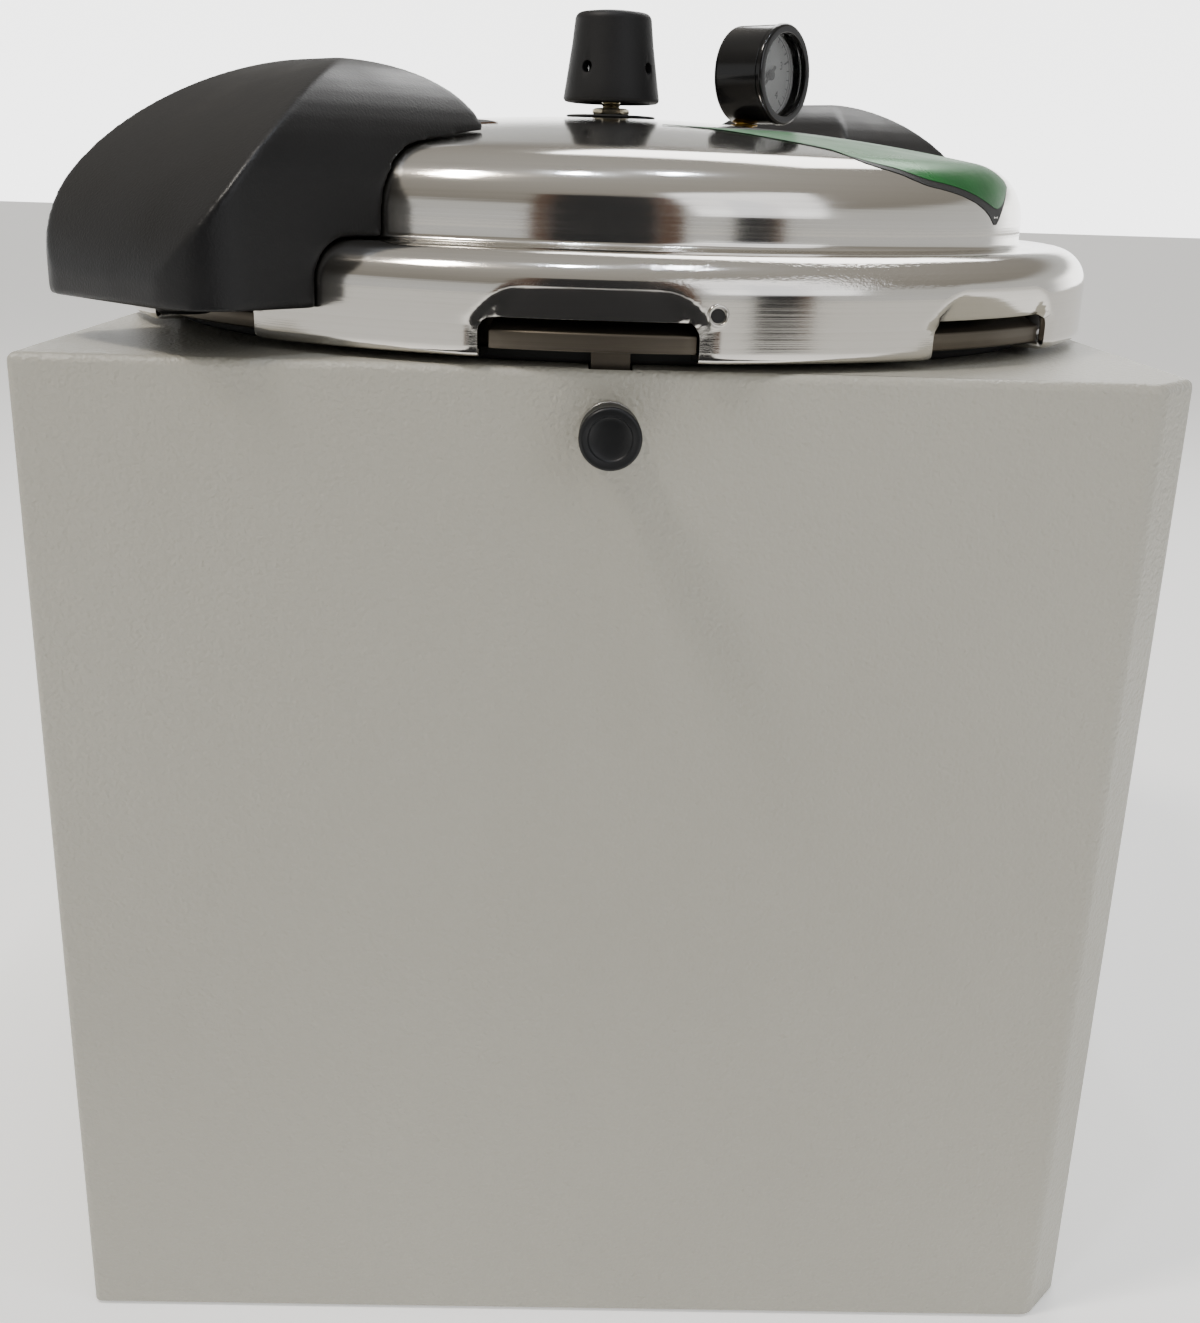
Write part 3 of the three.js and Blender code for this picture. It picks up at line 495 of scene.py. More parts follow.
# Aluminium, cast and turned, oxidised by use: grey brown, dull, with coarse rings.
POT_METAL = SpunAluminium(
    "oxidised_turned_aluminium", Slot.POT_ALUMINIUM, "746D62", "524C44", 0.42, 0.08, 1.0,
    grain=1.4, depth=0.03, brushed=0.3,
)
# Aluminium sheet, pressed: the jar rack, paler and duller than the lid.
RACK_METAL = SpunAluminium(
    "pressed_sheet_aluminium", Slot.POLISHED_ALUMINIUM, "C9C6C0", "B2AEA7", 0.34, 0.06, 1.0,
    grain=1.2, depth=0.02, brushed=0.2,
)
# Phenolic, compression moulded: black with a grain that scatters the light into small sparks.
HANDLE_PHENOLIC = Finish(
    "moulded_phenolic", Slot.PHENOLIC, "0D0D0E", "161617", 0.42, 0.07, grain=0.9, depth=0.09,
    specular=0.3,
)
# Phenolic, sand-textured mould: matt black, no clear highlight.
WEIGHT_PHENOLIC = Finish(
    "matt_phenolic", Slot.PHENOLIC, "101011", "181819", 0.56, 0.06, grain=0.7, depth=0.05,
    specular=0.3,
)
# ABS, moulded with a spark-eroded grain: black, satin.
BLACK_ABS = Finish(
    "moulded_black_abs", Slot.BLACK_PLASTIC, "111213", "1A1B1D", 0.44, 0.06, grain=0.8, depth=0.03,
    specular=0.3,
)
# Stove enamel over steel: deep black under a clear, wet gloss.
GAUGE_ENAMEL = Finish(
    "gloss_black_enamel", Slot.GLOSS_BLACK, "030304", "070708", 0.16, 0.04, grain=3.0, depth=0.01,
    coat=0.25, specular=0.35,
)
# Steel, zinc plated: grey with a faint warm bloom and soft gloss.
ZINC_STEEL = Finish(
    "zinc_plated_steel", Slot.BARE_STEEL, "A9A8A4", "8F8E8B", 0.36, 0.08, 1.0, grain=0.8, depth=0.02
)
# Nickel over turned brass: pale, faintly yellow, with a sharp gloss.
NICKEL_PLATE = Finish(
    "nickel_plated_brass", Slot.BARE_STEEL, "CFC6AE", "AFA58B", 0.20, 0.07, 1.0, grain=0.7, depth=0.02
)
# Nitrile rubber, moulded: near black and dull, with a bloom in patches.
BLACK_RUBBER = Finish(
    "moulded_black_rubber", Slot.RUBBER, "141414", "232322", 0.72, 0.08, grain=1.2, depth=0.04
)
# Brass, turned: warm yellow with worn, duller patches.
TURNED_BRASS = Finish(
    "turned_brass", Slot.BRASS, "C39B4A", "A27E3A", 0.30, 0.08, 1.0, grain=0.8, depth=0.02
)
# Float glass: clear, with a sharp highlight.
LENS_GLASS = ClearGlass("clear_lens_glass", Slot.GLASS, "FFFFFF", "F4F7F7", 0.03, 0.02)
# Aluminium sheet, sprayed and printed: pale grey, matt.
DIAL_PAINT = Finish(
    "sprayed_dial_grey", Slot.DIAL, "A9A9A8", "9D9D9D", 0.55, 0.05, grain=0.6, depth=0.01
)
# Screen-printed ink: dense matt black.
DIAL_INK = Finish("printed_black_ink", Slot.DIAL, "151515", "1D1D1D", 0.6, 0.05, grain=0.6, depth=0.01)
# Anodised film over the polished dome, dyed green: bright colour with a metal sparkle.
GREEN_FILM = Finish(
    "dyed_green_film", Slot.POLISHED_ALUMINIUM, "0A7A2E", "043D18", 0.34, 0.08, 0.3, grain=1.0,
    depth=0.05, specular=0.25,
)
# The same film dyed gold.
GOLD_FILM = Finish(
    "dyed_gold_film", Slot.POLISHED_ALUMINIUM, "A86E22", "7E4C14", 0.34, 0.06, 0.4, grain=1.0,
    depth=0.04, specular=0.25,
)
# Studio floor: pale and matt.
FLOOR_PAPER = Finish(
    "studio_paper", Slot.DIAL, "FAFAF9", "F7F7F6", 0.9, 0.03, grain=6.0, depth=0.01, glow=0.45
)
# Studio wall cloth: the dark side of the room, seen only mirrored in the metal.
DARK_CLOTH = Finish("dark_wall_cloth", Slot.DIAL, "17181B", "222326", 0.9, 0.03, grain=6.0, depth=0.01)
# Brown hessian: the edges of that dark side.
BROWN_CLOTH = Finish("brown_wall_cloth", Slot.DIAL, "5A4132", "493426", 0.9, 0.03, grain=6.0, depth=0.01)


# ---------------------------------------------------------------- shop tools


@functools.cache
def box_of(node: str) -> tuple[Vector, Vector]:
    """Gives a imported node's lowest and highest corners, measured once."""
    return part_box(node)


def middle_of(node: str) -> Vector:
    """Gives the middle of a node's box."""
    low, high = box_of(node)
    return (low + high) / 2


def arc(
    cx: float, cy: float, rx: float, ry: float, start: float, end: float, steps: int
) -> Profile:
    """Gives the points of an arc, ends included.

    Args:
        cx: centre across.
        cy: centre up.
        rx: radius across.
        ry: radius up.
        start: first angle in degrees.
        end: last angle in degrees.
        steps: number of parts.

    Returns:
        The points.
    """
    angles = [math.radians(start + (end - start) * i / steps) for i in range(steps + 1)]
    return [(cx + rx * math.cos(a), cy + ry * math.sin(a)) for a in angles]


def line(start: tuple[float, float], end: tuple[float, float], steps: int) -> Profile:
    """Gives evenly spaced points of a line, its first point left out.

    Args:
        start: first end.
        end: last end.
        steps: number of parts.

    Returns:
        The points after the first.
    """
    return [
        (start[0] + (end[0] - start[0]) * i / steps, start[1] + (end[1] - start[1]) * i / steps)
        for i in range(1, steps + 1)
    ]


def azimuth_of(place: Vector) -> float:
    """Gives the azimuth of a place in degrees from the front, positive towards +X."""
    return math.degrees(math.atan2(place.x, -place.y))


def nearest_turn(angle: float, middle: float, pitch: float) -> float:
    """Gives an angle's distance from the nearest of evenly pitched middles, in degrees."""
    return (angle - middle + pitch / 2) % pitch - pitch / 2


def clear_selection() -> None:
    """Leaves edit mode and deselects everything."""
    if bpy.context.object and bpy.context.object.mode != "OBJECT":
        bpy.ops.object.mode_set(mode="OBJECT")
    bpy.ops.object.select_all(action="DESELECT")


def start_piece(name: str, adder: Callable, **sizes: object) -> bpy.types.Object:
    """Adds a primitive at the origin and opens it in edit mode, all selected.

    Args:
        name: the piece's name.
        adder: the operator that adds the primitive.
        sizes: the operator's settings.

    Returns:
        The object, in edit mode.
    """
    clear_selection()
    adder(location=(0, 0, 0), **sizes)
    obj = bpy.context.object
    obj.name = name
    bpy.ops.object.mode_set(mode="EDIT")
    bpy.ops.mesh.select_mode(type="VERT")
    bpy.ops.mesh.select_all(action="SELECT")
    return obj


def open_piece(obj: bpy.types.Object) -> bmesh.types.BMesh:
    """Opens one object in edit mode with nothing selected.

    Args:
        obj: the object.

    Returns:
        Its edit mesh.
    """
    clear_selection()
    obj.select_set(True)
    bpy.context.view_layer.objects.active = obj
    bpy.ops.object.mode_set(mode="EDIT")
    bpy.ops.mesh.select_all(action="DESELECT")
    return bmesh.from_edit_mesh(obj.data)


def pick_faces(obj: bpy.types.Object, test: Callable[[bmesh.types.BMFace], bool]) -> int:
    """Opens an object and selects the faces that pass a test.

    Args:
        obj: the object.
        test: says whether a face is wanted.

    Returns:
        How many were selected.
    """
    mesh = open_piece(obj)
    bpy.ops.mesh.select_mode(type="FACE")
    chosen = [f for f in mesh.faces if test(f)]
    for f in chosen:
        f.select_set(True)
    bmesh.update_edit_mesh(obj.data)
    return len(chosen)


def pick_edges(obj: bpy.types.Object, test: Callable[[bmesh.types.BMEdge], bool]) -> int:
    """Opens an object and selects the edges that pass a test.

    Args:
        obj: the object.
        test: says whether an edge is wanted.

    Returns:
        How many were selected.
    """
    mesh = open_piece(obj)
    bpy.ops.mesh.select_mode(type="EDGE")
    chosen = [e for e in mesh.edges if test(e)]
    for e in chosen:
        e.select_set(True)
    bmesh.update_edit_mesh(obj.data)
    return len(chosen)


def close_surface(obj: bpy.types.Object, merge: float = 1e-6) -> None:
    """Merges doubles, points the faces outwards and leaves edit mode.

    Args:
        obj: the object in edit mode.
        merge: distance in metres under which points become one.
    """
    bpy.ops.mesh.select_mode(type="VERT")
    bpy.ops.mesh.select_all(action="SELECT")
    bpy.ops.mesh.remove_doubles(threshold=merge)
    bpy.ops.mesh.normals_make_consistent(inside=False)
    bpy.ops.object.mode_set(mode="OBJECT")
    obj.select_set(False)


def turned(name: str, profile: Sequence[tuple[float, float]], steps: int = 96) -> bpy.types.Object:
    """Draws a profile point by point and spins it round the Z axis.

    Args:
        name: the piece's name.
        profile: points of radius and height in millimetres.
        steps: number of parts round the axis.

    Returns:
        The turned object.
    """
    obj = start_piece(name, bpy.ops.mesh.primitive_plane_add, size=MM)
    bpy.ops.mesh.merge(type="CENTER")
    bpy.ops.transform.translate(value=(profile[0][0] * MM, 0, profile[0][1] * MM))
    for (r0, z0), (r1, z1) in zip(profile, profile[1:]):
        step = ((r1 - r0) * MM, 0, (z1 - z0) * MM)
        bpy.ops.mesh.extrude_vertices_move(TRANSFORM_OT_translate={"value": step})
    bpy.ops.mesh.select_all(action="SELECT")
    bpy.ops.mesh.spin(steps=steps, angle=2 * math.pi, center=(0, 0, 0), axis=(0, 0, 1))
    close_surface(obj)
    return obj


def pushed(
    name: str, outline: Sequence[tuple[float, float, float]], push: tuple[float, float, float]
) -> bpy.types.Object:
    """Lays a filled circle's points on an outline and extrudes it.

    Args:
        name: the piece's name.
        outline: points in millimetres, in one plane.
        push: the extrusion in millimetres.

    Returns:
        The closed prism.
    """
    obj = start_piece(
        name, bpy.ops.mesh.primitive_circle_add, vertices=len(outline), fill_type="NGON"
    )
    mesh = bmesh.from_edit_mesh(obj.data)
    for vert, point in zip(mesh.verts, outline):
        vert.co = Vector(point) * MM
    bmesh.update_edit_mesh(obj.data)
    step = tuple(v * MM for v in push)
    bpy.ops.mesh.extrude_region_move(TRANSFORM_OT_translate={"value": step})
    close_surface(obj)
    return obj


def block(name: str, low: Sequence[float], high: Sequence[float]) -> bpy.types.Object:
    """Makes a box between two corners.

    Args:
        name: the piece's name.
        low: lowest corner in millimetres.
        high: highest corner in millimetres.

    Returns:
        The box.
    """
    obj = start_piece(name, bpy.ops.mesh.primitive_cube_add, size=1)
    bpy.ops.transform.resize(value=tuple((h - l) * MM for l, h in zip(low, high)))
    bpy.ops.transform.translate(value=tuple((h + l) / 2 * MM for l, h in zip(low, high)))
    bpy.ops.object.mode_set(mode="OBJECT")
    return obj


def modified(obj: bpy.types.Object, kind: str, **settings: object) -> bpy.types.Object:
    """Adds a modifier, sets it and applies it.

    Args:
        obj: the object.
        kind: the modifier's type.
        settings: its settings.

    Returns:
        The same object.
    """
    clear_selection()
    obj.select_set(True)
    bpy.context.view_layer.objects.active = obj
    modifier = obj.modifiers.new(kind.lower(), kind)
    for name, value in settings.items():
        setattr(modifier, name, value)
    bpy.ops.object.modifier_apply(modifier=modifier.name)
    return obj


def combined(
    obj: bpy.types.Object, tools: Iterable[bpy.types.Object], operation: str = "DIFFERENCE"
) -> bpy.types.Object:
    """Cuts, joins or intersects an object with others, which are used up.

    Args:
        obj: the object.
        tools: the others.
        operation: DIFFERENCE, UNION or INTERSECT.

    Returns:
        The same object.
    """
    for tool in tools:
        modified(obj, "BOOLEAN", operation=operation, solver="EXACT", object=tool)
        bpy.data.objects.remove(tool)
    return obj


def joined(obj: bpy.types.Object, others: Iterable[bpy.types.Object]) -> bpy.types.Object:
    """Puts other objects' meshes into one object.

    Args:
        obj: the object that keeps its name.
        others: the objects that go into it.

    Returns:
        The same object.
    """
    clear_selection()
    for other in others:
        other.select_set(True)
    obj.select_set(True)
    bpy.context.view_layer.objects.active = obj
    bpy.ops.object.join()
    return obj


def rounded(obj: bpy.types.Object, width: float, segments: int = 3, angle: float = 40) -> bpy.types.Object:
    """Rounds an object's sharp edges and keeps its flat faces flat.

    Args:
        obj: the object.
        width: the rounding in millimetres.
        segments: parts of the rounding.
        angle: edges sharper than this, in degrees, are rounded.

    Returns:
        The same object.
    """
    return modified(
        obj, "BEVEL", width=width * MM, segments=segments, limit_method="ANGLE",
        angle_limit=math.radians(angle), harden_normals=False,
    )


def moved(obj: bpy.types.Object, matrix: Matrix) -> bpy.types.Object:
    """Moves an object's mesh, and leaves the object at the origin."""
    obj.data.transform(matrix)
    obj.data.update()
    return obj


def copied(obj: bpy.types.Object, name: str, matrix: Matrix) -> bpy.types.Object:
    """Copies an object with a mesh of its own, placed by a matrix.

    Args:
        obj: the object.
        name: the copy's name.
        matrix: where the copy goes.

    Returns:
        The copy.
    """
    twin = obj.copy()
    twin.data = obj.data.copy()
    twin.name = name
    bpy.context.scene.collection.objects.link(twin)
    return moved(twin, matrix)


def handed_over(
    obj: bpy.types.Object,
    body: Body,
    finish: Finish,
    nodes: Sequence[str] = (),
    smooth: float = 38,
    flat_faces: bool = False,
) -> bpy.types.Object:
    """Shades, dresses and fixes a finished piece to its body.

    Args:
        obj: the piece.
        body: the body it rides on.
        finish: its finish.
        nodes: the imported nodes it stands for.
        smooth: edges under this angle, in degrees, are shaded smooth.
        flat_faces: weighs the shading towards large faces.

    Returns:
        The same piece.
    """
    clear_selection()
    obj.select_set(True)
    bpy.context.view_layer.objects.active = obj
    bpy.ops.object.shade_smooth_by_angle(angle=math.radians(smooth))
    if flat_faces:
        modified(obj, "WEIGHTED_NORMAL", keep_sharp=True)
    obj.data.materials.clear()
    obj.data.materials.append(finish.material())
    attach(obj, body.value)
    if nodes:
        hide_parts(*nodes)
    LOG.info("%s: %d faces, %s", obj.name, len(obj.data.polygons), finish.name)
    return obj




# ---------------------------------------------------------------- cabinet


@dataclass
class Cabinet:
    """The bent sheet cabinet with its back cover, base pan and screws."""

    sheet: float = 1.5
    bend: float = 3.2
    chamfer_across: float = 16.5
    chamfer_back: float = 18.0
    opening: float = 176.0
    notch: tuple[float, float, float] = (-8.9, 5.9, 198.2)
    bush_hole: float = 6.3
    flange: float = 14.0

    def build(self, nodes: dict[str, bpy.types.Object]) -> None:
        """Makes the shell and finishes the sheet parts and screws.

        Args:
            nodes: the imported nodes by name.
        """
        self.shell()
        self.sheet_parts(nodes)
        self.screws()

    def shell(self) -> None:
        """Folds the shell from a block: a sloping corner, rounded bends and a keyed opening."""
        low, high = (v / MM for v in box_of("cabinet_shell"))
        obj = block("cabinet_shell_folded", low, high)
        deep = Vector((self.chamfer_back, -self.chamfer_across, 0)).normalized()
        pick_faces(obj, lambda face: True)
        bpy.ops.mesh.bisect(
            plane_co=((high.x - self.chamfer_across) * MM, low.y * MM, 0),
            plane_no=deep, clear_outer=True, use_fill=True,
        )
        bpy.ops.object.mode_set(mode="OBJECT")
        pick_faces(obj, lambda face: face.normal.z < -0.9 or face.normal.y > 0.9)
        bpy.ops.mesh.delete(type="FACE")
        bpy.ops.object.mode_set(mode="OBJECT")

        def folded(edge: bmesh.types.BMEdge) -> bool:
            return len(edge.link_faces) == 2 and edge.calc_face_angle() > 0.3

        pick_edges(obj, folded)
        bpy.ops.mesh.bevel(offset=self.bend * MM, segments=6, affect="EDGES")
        bpy.ops.object.mode_set(mode="OBJECT")
        modified(obj, "SOLIDIFY", thickness=self.sheet * MM, offset=-1, use_even_offset=True)
        top = high.z
        hole = turned(
            "hole", [(0, top - 9), (self.opening, top - 9), (self.opening, top + 9), (0, top + 9)], 144
        )
        left, right, front = self.notch
        slot = block("slot", (left, -front, top - 9), (right, -front + 40, top + 9))
        knob = middle_of("plunger_bush") / MM
        bore = turned("bore", [(0, -9), (self.bush_hole, -9), (self.bush_hole, 9), (0, 9)], 32)
        at_knob = Matrix.Translation((knob.x * MM, low.y * MM, knob.z * MM))
        moved(bore, at_knob @ Matrix.Rotation(math.pi / 2, 4, "X"))
        combined(obj, [hole, slot, bore])
        cover_low, _ = box_of("back_cover")
        back = cover_low.y / MM - 0.3
        inner = (low.x + self.sheet, back - self.sheet, low.z + 0.5)
        outer = (high.x - self.sheet, back, top - self.sheet)
        frame = block("frame", inner, outer)
        window = block(
            "window",
            (inner[0] + self.flange, inner[1] - 5, inner[2] - 5),
            (outer[0] - self.flange, outer[1] + 5, outer[2] - self.flange),
        )
        joined(obj, [combined(frame, [window])])
        rounded(obj, 0.35, 2, 60)
        handed_over(obj, Body.CABINET, CABINET_COAT, ["cabinet_shell"], 32, True)

    def sheet_parts(self, nodes: dict[str, bpy.types.Object]) -> None:
        """Softens the edges of the flat parts.

        Args:
            nodes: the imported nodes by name.
        """
        softened(nodes, "back_cover", Body.CABINET, CABINET_COAT, 0.35)
        softened(nodes, "base_pan", Body.CABINET, ZINC_STEEL, 0.3)

    def screws(self) -> None:
        """Turns one cross-slotted screw and copies it to every place."""
        head = turned(
            "screw_model",
            [
                (0, -7), (1.2, -7), (1.7, -6), (1.7, 0), (3.6, 0), (3.6, 0.7),
                *arc(0, 0.7, 3.6, 1.5, 0, 90, 8)[1:],
            ],
            32,
        )
        slots = [
            block("slot_a", (-2.1, -0.4, 0.9), (2.1, 0.4, 3)),
            block("slot_b", (-0.4, -2.1, 0.9), (0.4, 2.1, 3)),
        ]
        combined(head, slots)
        rounded(head, 0.12, 2, 50)
        for i in range(6):
            name = f"back_screw_{i + 1}"
            low, high = box_of(name)
            place = Vector(((low.x + high.x) / 2, high.y - 2.2 * MM, (low.z + high.z) / 2))
            turn = Matrix.Rotation(-math.pi / 2, 4, "X") @ Matrix.Rotation(0.5 * i, 4, "Z")
            self.fixed(head, name, Matrix.Translation(place) @ turn)
        for i in range(4):
            name = f"pan_screw_{i + 1}"
            low, high = box_of(name)
            side = 1 if (low.x + high.x) > 0 else -1
            edge = high.x - 2.2 * MM if side > 0 else low.x + 2.2 * MM
            place = Vector((edge, (low.y + high.y) / 2, (low.z + high.z) / 2))
            turn = Matrix.Rotation(side * math.pi / 2, 4, "Y") @ Matrix.Rotation(0.7 * i, 4, "Z")
            self.fixed(head, name, Matrix.Translation(place) @ turn)
        bpy.data.objects.remove(head)

    def fixed(self, head: bpy.types.Object, name: str, matrix: Matrix) -> None:
        """Puts one screw in its place.

        Args:
            head: the screw that is copied.
            name: the node it stands for.
            matrix: its place.
        """
        twin = copied(head, f"{name}_turned", matrix)
        handed_over(twin, Body.CABINET, ZINC_STEEL, [name])


def softened(
    nodes: dict[str, bpy.types.Object], name: str, body: Body, finish: Finish, width: float
) -> bpy.types.Object:
    """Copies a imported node, merges it and rounds its edges.

    Args:
        nodes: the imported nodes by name.
        name: the node.
        body: the body it rides on.
        finish: its finish.
        width: the rounding in millimetres.

    Returns:
        The rounded copy.
    """
    twin = nodes[name].copy()
    twin.data = nodes[name].data.copy()
    twin.name = f"{name}_softened"
    for key in list(twin.keys()):
        del twin[key]
    twin.parent = None
    bpy.context.scene.collection.objects.link(twin)
    open_piece(twin)
    bpy.ops.mesh.select_all(action="SELECT")
    bpy.ops.mesh.remove_doubles(threshold=1e-5)
    bpy.ops.mesh.dissolve_limited(angle_limit=math.radians(0.4))
    bpy.ops.object.mode_set(mode="OBJECT")
    rounded(twin, width, 2, 50)
    return handed_over(twin, body, finish, [name], 40, True)


# ---------------------------------------------------------------- pot and what it stands on


@dataclass
class Pot:
    """The canner pot with its thick rim and locking lugs, and the rings round it."""

    inner: float = 165.0
    outer: float = 168.0
    rim: float = 192.5
    lug_reach: float = 203.5
    lug_top: float = 400.0
    lug_outer_top: float = 394.5
    lug_angle: float = 19.5
    first_lug: float = -2.5
    lugs: int = 8
    floor: tuple[float, float] = (50.0, 53.0)
    shoulder: float = 12.0
    chamfer: float = 10.2
    gap: float = 0.3
    ring_width: float = 10.5
    gasket_width: float = 13.5
    rubber_corner: float = 1.4

    def build(self, nodes: dict[str, bpy.types.Object]) -> None:
        """Makes the pot, the rings and the locating key.

        Args:
            nodes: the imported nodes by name.
        """
        _, high = box_of("pot")
        bottom = box_of("support_ring")[1].z / MM + self.gap
        top = high.z / MM
        self.turned_pot(bottom, top)
        self.rubber_rings()
        softened(nodes, "locating_key", Body.CABINET, POT_METAL, 0.8)

    def turned_pot(self, bottom: float, top: float) -> None:
        """Turns the pot and draws the lugs out of its rim.

        Args:
            bottom: underside of the rim.
            top: top of the rim.
        """
        low, high = self.floor
        s = self.shoulder
        profile = [
            (0, low), (80, low),
            *arc(self.outer - s, low + s, s, s, -90, 0, 8),
            (self.outer, 220), (self.outer, bottom),
            (self.rim, bottom), (self.rim, self.lug_top), (self.rim, top),
            (self.inner + self.chamfer, top), (self.inner, top - self.chamfer), (self.inner, 220),
            *arc(self.inner - s, high + s, s, s, 0, -90, 8),
            (80, high), (0, high),
        ]
        obj = turned("pot_turned", profile, 240)
        half = self.lug_angle / 2
        pitch = 360 / self.lugs

        def lug(face: bmesh.types.BMFace) -> bool:
            place = face.calc_center_median()
            reach = Vector((place.x, place.y)).length / MM
            return (
                abs(face.normal.z) < 0.1
                and reach > self.rim - 1
                and place.z < self.lug_top * MM
                and abs(nearest_turn(azimuth_of(place), self.first_lug, pitch)) < half
            )

        pick_faces(obj, lug)
        bpy.ops.mesh.extrude_region_shrink_fatten(
            TRANSFORM_OT_shrink_fatten={"value": (self.lug_reach - self.rim) * MM}
        )
        mesh = bmesh.from_edit_mesh(obj.data)
        for vert in mesh.verts:
            reach = Vector((vert.co.x, vert.co.y)).length / MM
            if reach > self.lug_reach - 2 and vert.co.z > (self.lug_top - 1) * MM:
                vert.co.z = self.lug_outer_top * MM
        bmesh.update_edit_mesh(obj.data)
        close_surface(obj)
        rounded(obj, 0.7, 3, 40)
        handed_over(obj, Body.CABINET, POT_METAL, ["pot"], 40)

    def rubber_rings(self) -> None:
        """Turns the ring that the pot stands on and the lid's gasket."""
        edge = box_of("support_ring")[1].x / MM
        for name, body, r0, r1 in (
            ("support_ring", Body.CABINET, edge - self.ring_width, edge),
            ("lid_gasket", Body.LID, self.rim - self.gasket_width, self.rim),
        ):
            z0, z1 = (corner.z / MM for corner in box_of(name))
            c = self.rubber_corner
            profile = [
                *arc(r1 - c, z0 + c, c, c, -90, 0, 5), *arc(r1 - c, z1 - c, c, c, 0, 90, 5),
                *arc(r0 + c, z1 - c, c, c, 90, 180, 5), *arc(r0 + c, z0 + c, c, c, 180, 270, 5),
                (r1 - c, z0),
            ]
            ring = turned(f"{name}_moulded", profile, 192)
            handed_over(ring, body, BLACK_RUBBER, [name])


# ---------------------------------------------------------------- lid


